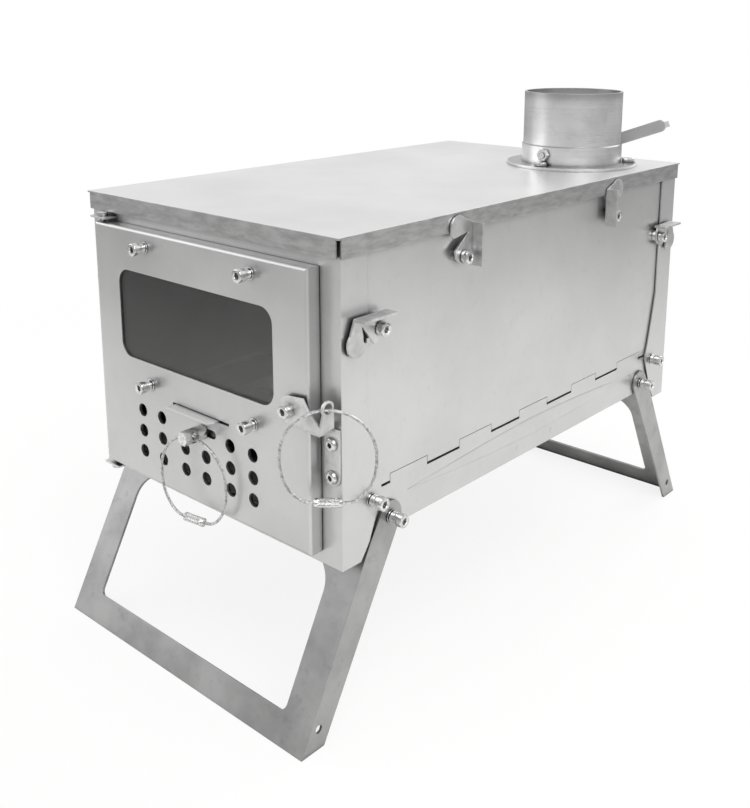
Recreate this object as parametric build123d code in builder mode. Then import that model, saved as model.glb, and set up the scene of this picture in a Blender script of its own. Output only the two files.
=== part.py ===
"""Folding tent wood stove: a flat-folding sheet box on two swing-out legs.

Millimetres. +Z is up, the ground is z = 0 and the door faces -Y. The origin is
on the ground below the middle of the box.
"""

import math
import os

from build123d import *

os.makedirs("parts", exist_ok=True)

# Sheet, clearances and fasteners
sheet = 1.0
leg_sheet = 1.5
gap = 0.3
turning_fit = 0.05
screw_radius = 2.0
screw_head_radius = 3.5
screw_head_height = 4.0
nut_across = 7.0
nut_height = 3.0

# Box
body_width = 197.3
body_length = 331.6
panel_bottom = 87.4
panel_height = 164.5
corner_flange = 18.3
flange_foot = 29.0
flange_shoulder = 78.0
flange_waist = 22.1
flange_waist_rise = 59.6
flange_hip = 25.9
flange_hip_rise = 42.6
flange_knee_rise = 32.6
flange_toe = 19.2
flange_toe_rise = 8.3
flange_tip = 13.2

# Pan and its side hinges
pan_bottom = 97.0
pan_setback = 13.8
pan_end_height = 16.0
hinge_height = 24.0
knuckle_height = 5.0
knuckle_width = 29.3
knuckle_count = 5
end_finger = 8.55
finger_gap = 1.4
ear_length = 14.0
hinge_rod_radius = 1.0
hinge_rod_inset = 1.6
curl_wall = 1.1

# Fire grate
grate_side_space = 8.35
grate_end_space = 12.0
grate_height = 13.0
grate_slot_length = 58.0
grate_slot_width = 7.0
grate_slot_margin = 23.0
grate_slot_rows = 14
grate_slot_columns = 2

# Lid, flue collar and damper
lid_side_overhang = 1.35
lid_end_overhang = 2.55
lid_skirt = 10.1
lid_corner_notch = 2.0
collar_from_side = 52.65
collar_from_end = 49.8
collar_radius = 32.5
collar_wall = 1.5
collar_height = 49.0
collar_shoulder_wall = 0.8
collar_shoulder_height = 14.0
collar_flange_radius = 43.0
collar_flange_thickness = 2.0
collar_bolt_radius = 37.8
collar_bolt_count = 3
bolt_head_height = 2.8
damper_height = 9.0
damper_clearance = 0.7
damper_thickness = 1.2
damper_tilt = 20.0
spindle_radius = 2.0
spindle_reach = 4.2
handle_length = 50.0
handle_width = 8.0
handle_tip = 6.0

# Door
door_left_margin = 13.15
door_right_margin = 13.45
door_bottom_margin = 6.7
door_top_margin = 13.9
door_depth = 8.2
door_corner = 1.5
door_overlap = 9.0
hinge_pin_radius = 1.5
hinge_pin_inset = 3.0
hinge_pin_setback = 3.6
hinge_ear_width = 14.0
window_left_rail = 21.0
window_right_rail = 24.0
window_top_rail = 23.45
window_bottom_rail = 69.95
window_corner = 8.5
glass_thickness = 3.0
glass_lap = 4.0
window_screw_span = 85.0
window_screw_offset = 5.15
window_screw_drop = 8.5
window_screw_rise = 57.9
standoff_radius = 2.6
standoff_length = 4.5

# Air slider
vent_radius = 3.75
vent_pair_pitch = 17.5
vent_block_pitch = 37.5
vent_row_pitch = 12.2
vent_low_z = 110.4
vent_first_x = -48.0
vent_blocks = 3
vent_rows = 3
knob_block = 1
slider_bottom = 102.5
slider_margin = 3.0
slide_back = 2.5
slide_forward = 7.5
lip_left = -17.0
lip_right = 19.0
lip_z = 146.0
lip_reach = 6.5
knob_x = 6.0
knob_z = 137.0
knob_length = 14.0
knob_across = 7.0
knob_hole_radius = 2.4
knob_hole_back = 6.0

# Latch, keeper and wire loops
latch_pivot_inset = 10.2
latch_z = 168.0
latch_radius = 7.0
latch_standoff = 2.0
latch_sheet = 1.2
latch_right_margin = 2.15
latch_shoulder_inset = 0.7
latch_top = 176.0
latch_cut_z = 164.0
latch_cut_radius = 34.0
latch_wing_depth = 9.0
wing_hole_radius = 2.6
keeper_gap = 2.8
keeper_right_margin = 0.45
keeper_bottom = 131.0
keeper_tongue_width = 7.0
keeper_screw_z = (152.4, 135.6)
wire_radius = 0.8
loop_radius = 23.5
loop_steps = 4
loop_foot = ((11.5, 0.0), (16.9, 3.9), (21.2, 10.3))
loop_free_angle = 78.0
barrel_radius = 2.3
barrel_length = 14.0
latch_loop_turn = 42.0
slider_loop_turn = -10.4

# Catches
end_catch_from_end = 23.8
end_catch_drop = 45.9
lid_catch_share = 0.4644
lid_catch_drop = 22.2
catch_sheet = 1.2
catch_standoff = 2.95
catch_radius = 8.0
catch_reach = 20.3
catch_shoulder_angle = 150.0
catch_neck_y = 3.5
catch_neck_z = 12.6
catch_tip_y = -8.5
catch_tip_z = 10.5
catch_nose_y = -11.0
catch_nose_z = 15.4
catch_tab_out = 6.5
catch_tab_low = -5.7
catch_tab_high = 17.3
catch_peg_out = 9.4
catch_peg_drop = 3.7
catch_peg_width = 2.0
catch_peg_height = 2.4

# Panel pivots and legs
panel_pivot_setback = 7.0
panel_pivot_z = 118.0
leg_pivot_setback = 21.0
leg_pivot_z = 104.0
leg_lean = 27.6
leg_face_offset = 9.4
leg_pivot_radius = 8.2
leg_top_drop = 14.5
leg_foot_width = 15.5
leg_window_low = 15.5
leg_window_high = 92.0
leg_window_side = 19.15
leg_window_corner = 16.0
leg_window_foot_corner = 4.0
peg_hole_radius = 2.2
peg_hole_z = 11.0
peg_hole_inward = 12.0
sleeve_radius = 3.6
sleeve_length = 5.0

# Places that follow from the sizes above
half_width = body_width / 2
half_length = body_length / 2
panel_top = panel_bottom + panel_height
pan_half_length = half_length - pan_setback
knuckle_reach = pan_half_length - ear_length - end_finger - knuckle_width / 2
knuckle_pitch = 2 * knuckle_reach / (knuckle_count - 1)
side_out = half_width - sheet - gap
side_in = side_out - sheet
lid_under = panel_top + gap
lid_top = lid_under + sheet
lid_width = body_width + 2 * lid_side_overhang
lid_length = body_length + 2 * lid_end_overhang
collar_x = half_width - collar_from_side
collar_y = half_length - collar_from_end
door_left = door_left_margin - half_width
door_right = half_width - door_right_margin
door_bottom = panel_bottom + door_bottom_margin
door_top = panel_top - door_top_margin
door_height = door_top - door_bottom
window_left = door_left + window_left_rail
window_right = door_right - window_right_rail
window_width = window_right - window_left
window_centre_x = (window_left + window_right) / 2
window_low = door_bottom + window_bottom_rail
window_high = door_top - window_top_rail
window_height = window_high - window_low
window_centre_z = (window_low + window_high) / 2
window_screw_x = window_centre_x + window_screw_offset
window_screw_upper = door_top - window_screw_drop
window_screw_lower = door_bottom + window_screw_rise
door_rear = -half_length - gap
door_front = door_rear - door_depth
door_inner = door_front + sheet
hinge_z = pan_bottom + hinge_height
rod_z = hinge_z + knuckle_height / 2
pin_x = door_left + hinge_pin_inset
pin_y = door_front + hinge_pin_setback
spindle_z = lid_top + damper_height
end_catch_y = half_length - end_catch_from_end
end_catch_z = panel_top - end_catch_drop
lid_catch_y = half_length * lid_catch_share
lid_catch_z = panel_top - lid_catch_drop
panel_pivot_y = pan_half_length - panel_pivot_setback
leg_pivot_y = pan_half_length - leg_pivot_setback
catch_inner = side_out + catch_standoff
catch_outer = catch_inner + catch_sheet
latch_inner = door_front - latch_standoff
latch_outer = latch_inner - latch_sheet
latch_x = door_right - latch_pivot_inset
latch_right = half_width - latch_right_margin
latch_shoulder_x = door_right - latch_shoulder_inset
keeper_left = door_right + keeper_gap
keeper_right = half_width - keeper_right_margin
wing_x = latch_right - latch_sheet / 2
hole_y = latch_inner + latch_wing_depth / 2 - latch_sheet / 2
hole_z = latch_top - wing_hole_radius - latch_sheet / 2
latch_low = latch_z - latch_radius


def save(piece, name):
    """Label a finished piece and write it to its own STEP file."""
    piece.part.label = name
    export_step(piece.part, f"parts/{name}.step")


def turned(plane, steps):
    """A stack of round steps (radius, length) that grows along the plane's normal."""
    with BuildPart() as piece:
        start = 0.0
        for radius, length in steps:
            with BuildSketch(plane.offset(start)) as disc:
                Circle(radius)
            extrude(disc.sketch, amount=length)
            start += length
    return piece.part


def hexagon(plane, across, length, bore=0.0):
    """A hexagonal prism across its flats, bored through when a bore is given."""
    with BuildPart() as piece:
        with BuildSketch(plane) as outline:
            RegularPolygon(across / 2, 6, major_radius=False)
            if bore:
                Circle(bore, mode=Mode.SUBTRACT)
        extrude(outline.sketch, amount=length)
    return piece.part


def side_plane(x, y, z):
    """A plane that faces +X at a point of the right-hand side."""
    return Plane(origin=(x, y, z), x_dir=(0, 1, 0), z_dir=(1, 0, 0))


def front_plane(x, y, z):
    """A plane that faces -Y at a point of the front."""
    return Plane(origin=(x, y, z), x_dir=(1, 0, 0), z_dir=(0, -1, 0))


def knuckle_centres():
    """The Y places of the raised hinge knuckles of the pan."""
    first = -knuckle_pitch * (knuckle_count - 1) / 2
    return [first + knuckle_pitch * number for number in range(knuckle_count)]


def finger_spans():
    """The (centre, width) pairs of the side panel's fingers between the knuckles."""
    centres = knuckle_centres()
    width = knuckle_pitch - knuckle_width - 2 * gap
    spans = [((a + b) / 2, width) for a, b in zip(centres, centres[1:])]
    inner = centres[-1] + knuckle_width / 2 + gap
    outer = pan_half_length - ear_length - gap
    for sign in (-1, 1):
        spans.append((sign * (inner + outer) / 2, outer - inner))
    return spans


# Bottom pan: a tray whose side walls carry the hinge knuckles and the pivots
curl_radius = hinge_rod_radius + curl_wall
rod_x = side_in - hinge_rod_inset
with BuildPart() as bottom_pan:
    with BuildSketch(Plane.XY.offset(pan_bottom)):
        Rectangle(2 * side_out, 2 * pan_half_length)
    extrude(amount=sheet)
    for end_y in (-pan_half_length + sheet / 2, pan_half_length - sheet / 2):
        with BuildSketch(Plane.XY.offset(pan_bottom)):
            with Locations((0, end_y)):
                Rectangle(2 * side_out, sheet)
        extrude(amount=pan_end_height)
    for wall_x in (-side_out, side_in):
        with BuildSketch(Plane.YZ.offset(wall_x)):
            with Locations((0, pan_bottom)):
                Rectangle(2 * pan_half_length, hinge_height, align=(Align.CENTER, Align.MIN))
            with Locations(*[(y, hinge_z) for y in knuckle_centres()]):
                Rectangle(knuckle_width, knuckle_height, align=(Align.CENTER, Align.MIN))
            for sign in (-1, 1):
                with Locations((sign * (pan_half_length - ear_length / 2), hinge_z)):
                    Rectangle(ear_length, knuckle_height, align=(Align.CENTER, Align.MIN))
            with Locations(
                *[(sign * panel_pivot_y, panel_pivot_z) for sign in (-1, 1)],
                *[(sign * leg_pivot_y, leg_pivot_z) for sign in (-1, 1)],
            ):
                Circle(screw_radius + turning_fit, mode=Mode.SUBTRACT)
        extrude(amount=sheet)
    for curl_x in (-rod_x, rod_x):
        for y in knuckle_centres():
            with BuildSketch(front_plane(curl_x, y + knuckle_width / 2, rod_z)):
                Circle(curl_radius)
                Circle(hinge_rod_radius + 2 * turning_fit, mode=Mode.SUBTRACT)
            extrude(amount=knuckle_width)
save(bottom_pan, "bottom_pan")

# Side panel: a flat sheet whose lower fingers curl round the same hinge rod
side_half_length = half_length - 2 * sheet - nut_height - gap
with BuildPart() as side_panel_right:
    with BuildSketch(Plane.YZ.offset(side_in)):
        with Locations((0, hinge_z + knuckle_height + gap)):
            Rectangle(
                2 * side_half_length,
                panel_top - hinge_z - knuckle_height - gap,
                align=(Align.CENTER, Align.MIN),
            )
        for y, width in finger_spans():
            with Locations((y, hinge_z + knuckle_height + gap)):
                Rectangle(width, knuckle_height + gap - finger_gap, align=(Align.CENTER, Align.MAX))
        with Locations(
            *[(sign * end_catch_y, end_catch_z) for sign in (-1, 1)],
            *[(sign * lid_catch_y, lid_catch_z) for sign in (-1, 1)],
        ):
            Circle(screw_radius + turning_fit, mode=Mode.SUBTRACT)
    extrude(amount=sheet)
    for y, width in finger_spans():
        with BuildSketch(front_plane(rod_x, y + width / 2, rod_z)):
            Circle(curl_radius)
            Circle(hinge_rod_radius + 2 * turning_fit, mode=Mode.SUBTRACT)
        extrude(amount=width)
save(side_panel_right, "side_panel_right")

with BuildPart() as side_panel_left:
    mirror(side_panel_right.part, about=Plane.YZ)
save(side_panel_left, "side_panel_left")

# Hinge rods: the wires through the curled knuckles of the pan and the side panels
rod_half_length = pan_half_length - ear_length
with BuildPart() as hinge_rod_right:
    add(turned(front_plane(rod_x, rod_half_length, rod_z), [(hinge_rod_radius, 2 * rod_half_length)]))
save(hinge_rod_right, "hinge_rod_right")

with BuildPart() as hinge_rod_left:
    mirror(hinge_rod_right.part, about=Plane.YZ)
save(hinge_rod_left, "hinge_rod_left")

# Fire grate: a slotted plate on two down-turned edges that stand on the pan
grate_foot = pan_bottom + sheet
grate_top = grate_foot + grate_height
grate_width = 2 * (side_in - grate_side_space)
grate_length = 2 * (pan_half_length - grate_end_space)
grate_slot_pitch = (grate_length - 2 * grate_slot_margin) / (grate_slot_rows - 1)
with BuildPart() as fire_grate:
    with BuildSketch(Plane.XY.offset(grate_top)):
        Rectangle(grate_width, grate_length)
        with GridLocations(
            grate_width / grate_slot_columns, grate_slot_pitch, grate_slot_columns, grate_slot_rows
        ):
            SlotOverall(grate_slot_length, grate_slot_width, mode=Mode.SUBTRACT)
    extrude(amount=-sheet)
    with BuildSketch(Plane.XY.offset(grate_foot)):
        for sign in (-1, 1):
            with Locations((sign * (grate_width - sheet) / 2, 0)):
                Rectangle(sheet, grate_length)
    extrude(amount=grate_height)
save(fire_grate, "fire_grate")


def corner_flange_outline():
    """The right front flange seen from +X: narrow above, wider round its pivot."""
    edge = -half_length + corner_flange
    foot = -half_length + flange_foot
    with BuildSketch(Plane.YZ.offset(half_width - sheet)) as outline:
        with BuildLine():
            Polyline(
                (-half_length, panel_bottom),
                (-half_length + flange_tip, panel_bottom),
                (-half_length + flange_toe, panel_bottom + flange_toe_rise),
                (foot, panel_bottom + flange_knee_rise),
                (-half_length + flange_hip, panel_bottom + flange_hip_rise),
                (-half_length + flange_waist, panel_bottom + flange_waist_rise),
                (edge, panel_bottom + flange_shoulder),
                (edge, panel_top),
                (-half_length, panel_top),
                close=True,
            )
        make_face()
        with Locations((-panel_pivot_y, panel_pivot_z)):
            Circle(screw_radius + turning_fit, mode=Mode.SUBTRACT)
    return outline.sketch


def end_panel():
    """The sheet and corner flanges that the front and rear panels share, at the front."""
    with BuildPart() as panel:
        with BuildSketch(Plane.XZ.offset(half_length - sheet)):
            with Locations((0, panel_bottom)):
                Rectangle(body_width, panel_height, align=(Align.CENTER, Align.MIN))
        extrude(amount=sheet)
        extrude(corner_flange_outline(), amount=sheet)
        with BuildSketch(
            side_plane(half_width - sheet, -end_catch_y - catch_peg_out, end_catch_z - catch_peg_drop)
        ):
            Rectangle(catch_peg_width, catch_peg_height)
        extrude(amount=catch_outer + sheet - half_width + sheet)
        mirror(about=Plane.YZ)
    return panel.part


# Front panel: end panel with the door opening, its rim and the two door hinge ears
opening_left = door_left + door_overlap
opening_right = door_right - door_overlap
opening_bottom = door_bottom + door_overlap
opening_top = door_top - door_overlap
ear_reach = -pin_y - half_length + hinge_pin_radius + 2 * sheet
upper_ear_z = door_top + 2 * sheet
lower_ear_z = door_bottom - 2 * sheet - sheet
with BuildPart() as front_panel:
    add(end_panel())
    with BuildSketch(Plane.XZ.offset(half_length - sheet)):
        with Locations(((opening_left + opening_right) / 2, (opening_bottom + opening_top) / 2)):
            RectangleRounded(
                opening_right - opening_left, opening_top - opening_bottom, window_corner
            )
    extrude(amount=sheet, mode=Mode.SUBTRACT)
    for ear_z in (upper_ear_z, lower_ear_z):
        with BuildSketch(Plane.XY.offset(ear_z)):
            with Locations((pin_x, -half_length)):
                Rectangle(hinge_ear_width, ear_reach, align=(Align.CENTER, Align.MAX))
            with Locations((pin_x, pin_y)):
                Circle(hinge_pin_radius, mode=Mode.SUBTRACT)
        extrude(amount=sheet)
    with BuildSketch(Plane.XZ.offset(half_length - sheet)):
        with Locations(*[((keeper_left + keeper_right) / 2, z) for z in keeper_screw_z]):
            Circle(screw_radius)
    extrude(amount=sheet, mode=Mode.SUBTRACT)
save(front_panel, "front_panel")

# Rear panel: a plain end panel
with BuildPart() as rear_panel:
    mirror(end_panel(), about=Plane.XZ)
save(rear_panel, "rear_panel")

# Door hinge pins: headed pins through the ears into the door's edges
pin_grip = 2 * sheet
with BuildPart() as door_hinge_pins:
    for start_z, up in ((door_top - pin_grip, 1), (door_bottom + pin_grip, -1)):
        shank = upper_ear_z + sheet - door_top + pin_grip
        if up < 0:
            shank = door_bottom + pin_grip - lower_ear_z
        add(
            turned(
                Plane(origin=(pin_x, pin_y, start_z), z_dir=(0, 0, up)),
                [(hinge_pin_radius, shank), (2 * hinge_pin_radius, pin_grip)],
            )
        )
save(door_hinge_pins, "door_hinge_pins")

# Pivot screws: a cap head and a sleeve outside, a hexagonal nut inside
def pivot_screw(y, z, seat_x, sleeve):
    """A right-hand pivot screw through the pan wall, seated on the sheet at seat_x."""
    with BuildPart() as piece:
        add(
            turned(
                side_plane(side_in - nut_height, y, z),
                [
                    (screw_radius, seat_x - side_in + nut_height),
                    (sleeve_radius, sleeve),
                    (screw_head_radius, screw_head_height),
                ],
            )
        )
        add(hexagon(side_plane(side_in - nut_height, y, z), nut_across, nut_height))
    return piece.part


def both_sides(parts):
    """The right-hand pieces and their copies on the left-hand side."""
    with BuildPart() as piece:
        for part in parts:
            add(part)
        mirror(about=Plane.YZ)
    return piece.part


with BuildPart() as panel_pivot_screws:
    add(
        both_sides(
            [pivot_screw(sign * panel_pivot_y, panel_pivot_z, half_width, sleeve_length) for sign in (-1, 1)]
        )
    )
save(panel_pivot_screws, "panel_pivot_screws")

leg_outer = side_out + gap + leg_sheet
with BuildPart() as leg_pivot_screws:
    add(
        both_sides(
            [
                pivot_screw(sign * leg_pivot_y, leg_pivot_z, leg_outer + gap, sleeve_length)
                for sign in (-1, 1)
            ]
        )
    )
save(leg_pivot_screws, "leg_pivot_screws")

# Catch screws stand on spacers, so that the catches clear the lid's skirt
catch_places = [(sign * end_catch_y, end_catch_z) for sign in (-1, 1)]
catch_places += [(sign * lid_catch_y, lid_catch_z) for sign in (-1, 1)]


def catch_screw(y, z):
    """A cap screw through a catch and its spacer, with a nut inside the panel."""
    with BuildPart() as piece:
        add(
            turned(
                side_plane(side_in - nut_height, y, z),
                [
                    (screw_radius, catch_outer + gap - side_in + nut_height),
                    (screw_head_radius, screw_head_height),
                ],
            )
        )
        add(hexagon(side_plane(side_in - nut_height, y, z), nut_across, nut_height))
    return piece.part


with BuildPart() as catch_screws:
    add(both_sides([catch_screw(y, z) for y, z in catch_places]))
save(catch_screws, "catch_screws")

with BuildPart() as spacers_right:
    for y, z in catch_places:
        with BuildSketch(side_plane(side_out, y, z)):
            Circle(sleeve_radius)
            Circle(screw_radius, mode=Mode.SUBTRACT)
        extrude(amount=catch_inner - gap - side_out)

with BuildPart() as catch_spacers:
    add(both_sides([spacers_right.part]))
save(catch_spacers, "catch_spacers")


def catch(pivot_y, pivot_z, lean, front, right):
    """A hooked catch: lean turns its head from upright towards the box's end."""
    flat = side_plane(catch_inner, 0, 0)
    with BuildPart() as piece:
        with BuildSketch(flat):
            with BuildLine():
                side = math.radians(catch_shoulder_angle)
                shoulder = (catch_radius * math.cos(side), catch_radius * math.sin(side))
                right_edge = (catch_radius, catch_tab_high)
                RadiusArc((catch_radius, 0), shoulder, catch_radius)
                Line(shoulder, (catch_neck_y, catch_neck_z))
                Line((catch_neck_y, catch_neck_z), (catch_tip_y, catch_tip_z))
                ThreePointArc(
                    (catch_tip_y, catch_tip_z), (catch_nose_y, catch_nose_z), (0, catch_reach)
                )
                Line((0, catch_reach), right_edge)
                Line(right_edge, (catch_radius, 0))
            make_face()
            Circle(screw_radius + turning_fit, mode=Mode.SUBTRACT)
        extrude(amount=catch_sheet)
        with BuildSketch(flat):
            with Locations((catch_radius - catch_sheet / 2, (catch_tab_low + catch_tab_high) / 2)):
                Rectangle(catch_sheet, catch_tab_high - catch_tab_low)
        extrude(amount=catch_sheet + catch_tab_out)
    turned_part = piece.part.rotate(Axis.X, lean).translate((0, -pivot_y, pivot_z))
    with BuildPart() as placed:
        add(turned_part)
        if not front:
            mirror(about=Plane.XZ, mode=Mode.REPLACE)
        if not right:
            mirror(about=Plane.YZ, mode=Mode.REPLACE)
    return placed.part


for end_name, front in (("front", True), ("rear", False)):
    for side_name, right in (("right", True), ("left", False)):
        for use, y, z, lean in (
            ("end_catch", end_catch_y, end_catch_z, 90),
            ("lid_catch", lid_catch_y, lid_catch_z, 0),
        ):
            with BuildPart() as catch_piece:
                add(catch(y, z, lean, front, right))
            save(catch_piece, f"{use}_{end_name}_{side_name}")

# Lid: a sheet with four skirts that stop short of its corners
collar_bore = collar_radius - collar_wall
with BuildPart() as lid_plate:
    with BuildSketch(Plane.XY.offset(lid_under)):
        Rectangle(lid_width, lid_length)
        with Locations((collar_x, collar_y)):
            Circle(collar_bore, mode=Mode.SUBTRACT)
            with PolarLocations(collar_bolt_radius, collar_bolt_count, start_angle=-90):
                Circle(screw_radius, mode=Mode.SUBTRACT)
    extrude(amount=sheet)
    skirt_bottom = lid_top - lid_skirt
    with BuildSketch(Plane.XY.offset(skirt_bottom)):
        for sign in (-1, 1):
            with Locations((sign * (lid_width - sheet) / 2, 0)):
                Rectangle(sheet, lid_length - 2 * lid_corner_notch)
            with Locations((0, sign * (lid_length - sheet) / 2)):
                Rectangle(lid_width - 2 * lid_corner_notch, sheet)
    extrude(amount=lid_skirt)
save(lid_plate, "lid_plate")

# Flue collar: a flanged spigot with a thicker foot that carries the damper's spindle
collar_foot_radius = collar_radius + collar_shoulder_wall
with BuildPart() as flue_collar:
    with BuildSketch(Plane.XZ.offset(-collar_y)):
        with BuildLine():
            Polyline(
                (collar_x + collar_bore, lid_top),
                (collar_x + collar_flange_radius, lid_top),
                (collar_x + collar_flange_radius, lid_top + collar_flange_thickness),
                (collar_x + collar_foot_radius, lid_top + collar_flange_thickness),
                (collar_x + collar_foot_radius, lid_top + collar_shoulder_height),
                (collar_x + collar_radius, lid_top + collar_shoulder_height + collar_shoulder_wall),
                (collar_x + collar_radius, lid_top + collar_height),
                (collar_x + collar_bore, lid_top + collar_height),
                close=True,
            )
        make_face()
    revolve(axis=Axis((collar_x, collar_y, 0), (0, 0, 1)))
    with BuildSketch(Plane.XY.offset(lid_top)):
        with Locations((collar_x, collar_y)):
            with PolarLocations(collar_bolt_radius, collar_bolt_count, start_angle=-90):
                Circle(screw_radius)
    extrude(amount=collar_flange_thickness, mode=Mode.SUBTRACT)
    with BuildSketch(Plane.XZ.offset(-collar_y - collar_foot_radius)):
        with Locations((collar_x, spindle_z)):
            Circle(spindle_radius + turning_fit)
    extrude(amount=2 * collar_foot_radius, mode=Mode.SUBTRACT)
save(flue_collar, "flue_collar")


def round_the_collar(part):
    """Copies of a piece at the collar's bolts, made for a bolt at the origin."""
    with BuildPart() as piece:
        with Locations((collar_x, collar_y)):
            with PolarLocations(collar_bolt_radius, collar_bolt_count, start_angle=-90):
                add(part)
    return piece.part


with BuildPart() as flue_bolts:
    shank_length = lid_top + collar_flange_thickness - lid_under + nut_height
    bolt = hexagon(Plane.XY.offset(lid_top + collar_flange_thickness), nut_across, bolt_head_height)
    add(round_the_collar(bolt))
    shank = turned(Plane.XY.offset(lid_under - nut_height), [(screw_radius, shank_length)])
    add(round_the_collar(shank))
save(flue_bolts, "flue_bolts")

with BuildPart() as flue_nuts:
    nut = hexagon(Plane.XY.offset(lid_under - nut_height), nut_across, nut_height, screw_radius)
    add(round_the_collar(nut))
save(flue_nuts, "flue_nuts")

# Damper: a disc on a spindle across the collar, with a strip handle and a nut
damper_radius = collar_bore - damper_clearance
spindle_half = collar_foot_radius + spindle_reach
with BuildPart() as damper_spindle:
    add(
        turned(
            front_plane(collar_x, collar_y + spindle_half, spindle_z),
            [(spindle_radius, 2 * spindle_half)],
        )
    )
save(damper_spindle, "damper_spindle")

with BuildPart() as damper_disc:
    with BuildSketch(Plane.XY.offset(-damper_thickness / 2)):
        Circle(damper_radius)
    extrude(amount=damper_thickness)
    with BuildSketch(Plane.XZ.offset(-damper_radius)):
        Circle(spindle_radius + sheet)
    extrude(amount=2 * damper_radius - damper_clearance)
    with BuildSketch(Plane.XZ.offset(-damper_radius)):
        Circle(spindle_radius)
    extrude(amount=2 * damper_radius, mode=Mode.SUBTRACT)
damper_disc.part = damper_disc.part.rotate(Axis.Y, -damper_tilt).translate(
    (collar_x, collar_y, spindle_z)
)
save(damper_disc, "damper_disc")

handle_seat = collar_y + collar_foot_radius + gap
with BuildPart() as damper_handle:
    with BuildSketch(Plane.XZ.offset(-handle_seat)):
        with Locations((handle_length / 2, 0)):
            SlotCenterToCenter(handle_length, handle_width)
        Circle(spindle_radius, mode=Mode.SUBTRACT)
    extrude(amount=-damper_thickness)
    with BuildSketch(Plane.XZ.offset(-handle_seat)):
        with Locations((handle_length + handle_width / 2 - damper_thickness / 2, 0)):
            Rectangle(damper_thickness, handle_width / 2)
    extrude(amount=-handle_tip)
damper_handle.part = damper_handle.part.rotate(Axis.Y, -damper_tilt).translate(
    (collar_x, 0, spindle_z)
)
save(damper_handle, "damper_handle")

with BuildPart() as damper_nut:
    nut_seat = collar_y - collar_foot_radius - gap
    add(hexagon(front_plane(collar_x, nut_seat, spindle_z), nut_across, nut_height, spindle_radius))
save(damper_nut, "damper_nut")

# Door: a shallow pressed tray, rounded off behind its hinge pins
door_centre = ((door_left + door_right) / 2, (door_bottom + door_top) / 2)
pin_clear = door_rear - pin_y
vent_places = [
    (
        vent_first_x + vent_block_pitch * block + vent_pair_pitch * side,
        vent_low_z + vent_row_pitch * row,
    )
    for block in range(vent_blocks)
    for side in (0, 1)
    for row in range(vent_rows)
    if row < vent_rows - 1 or block != knob_block
]
vent_last_x = vent_first_x + vent_block_pitch * (vent_blocks - 1) + vent_pair_pitch
window_screw_places = [
    (window_screw_x + sign * window_screw_span / 2, z)
    for sign in (-1, 1)
    for z in (window_screw_upper, window_screw_lower)
]
lip_slot_left = lip_left - slide_back - gap
lip_slot_right = lip_right + slide_forward + gap
knob_stem = screw_radius
with BuildPart() as door_panel:
    with BuildSketch(Plane.XZ.offset(-door_rear)):
        with Locations(door_centre):
            Rectangle(door_right - door_left, door_height)
    extrude(amount=door_depth)
    fillet(faces().sort_by(Axis.Y)[0].edges(), door_corner)
    offset(amount=-sheet, openings=faces().sort_by(Axis.Y)[-1])
    with BuildSketch(Plane.XY.offset(door_bottom)):
        with Locations(((door_left + pin_x) / 2, (pin_y + door_rear) / 2)):
            Rectangle(pin_x - door_left, door_rear - pin_y)
        with Locations((pin_x, pin_y)):
            Circle(pin_clear, mode=Mode.SUBTRACT)
    extrude(amount=door_height, mode=Mode.SUBTRACT)
    with BuildSketch(Plane.XY.offset(door_bottom)):
        with Locations((pin_x, pin_y)):
            Circle(hinge_pin_radius + turning_fit)
    extrude(amount=door_height, mode=Mode.SUBTRACT)
    with BuildSketch(Plane.XZ.offset(-door_inner)):
        with Locations((window_centre_x, window_centre_z)):
            RectangleRounded(window_width, window_height, window_corner)
        with Locations(*vent_places):
            Circle(vent_radius)
        with Locations(((lip_slot_left + lip_slot_right) / 2, lip_z)):
            Rectangle(lip_slot_right - lip_slot_left, sheet + 2 * gap)
        with Locations((knob_x + (slide_forward - slide_back) / 2, knob_z)):
            SlotCenterToCenter(slide_forward + slide_back, 2 * (knob_stem + gap))
        with Locations(*window_screw_places, (latch_x, latch_z)):
            Circle(screw_radius)
    extrude(amount=sheet, mode=Mode.SUBTRACT)
save(door_panel, "door_panel")

# Window glass and the two formed strips that hold it and the slider's upper edge
glass_low = window_centre_z - window_height / 2 - glass_lap
glass_high = window_centre_z + window_height / 2 + glass_lap
with BuildPart() as window_glass:
    with BuildSketch(Plane.XZ.offset(-door_inner)):
        with Locations((window_centre_x, window_centre_z)):
            RectangleRounded(
                window_width + 2 * glass_lap, window_height + 2 * glass_lap, window_corner
            )
    extrude(amount=-glass_thickness)
save(window_glass, "window_glass")

strip_length = window_width
strip_lip = glass_lap - sheet
strip_back = door_inner + glass_thickness
upper_strip_top = window_screw_upper + nut_across / 2 + sheet


def strip(points, low_or_high):
    """A formed strip: its section in Y and Z, extruded along X and drilled for the screws."""
    with BuildPart() as piece:
        with BuildSketch(Plane.YZ.offset(window_centre_x - strip_length / 2)):
            with BuildLine():
                Polyline(*points, close=True)
            make_face()
        extrude(amount=strip_length)
        with BuildSketch(Plane.XZ.offset(-door_inner)):
            with Locations(*[place for place in window_screw_places if place[1] == low_or_high]):
                Circle(screw_radius)
        extrude(amount=-sheet, mode=Mode.SUBTRACT)
    return piece.part


with BuildPart() as glass_strip_upper:
    add(
        strip(
            [
                (door_inner, glass_high + gap),
                (door_inner, upper_strip_top),
                (door_inner + sheet, upper_strip_top),
                (door_inner + sheet, glass_high + gap + sheet),
                (strip_back + sheet, glass_high + gap + sheet),
                (strip_back + sheet, glass_high - strip_lip),
                (strip_back, glass_high - strip_lip),
                (strip_back, glass_high + gap),
            ],
            window_screw_upper,
        )
    )
save(glass_strip_upper, "glass_strip_upper")

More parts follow.
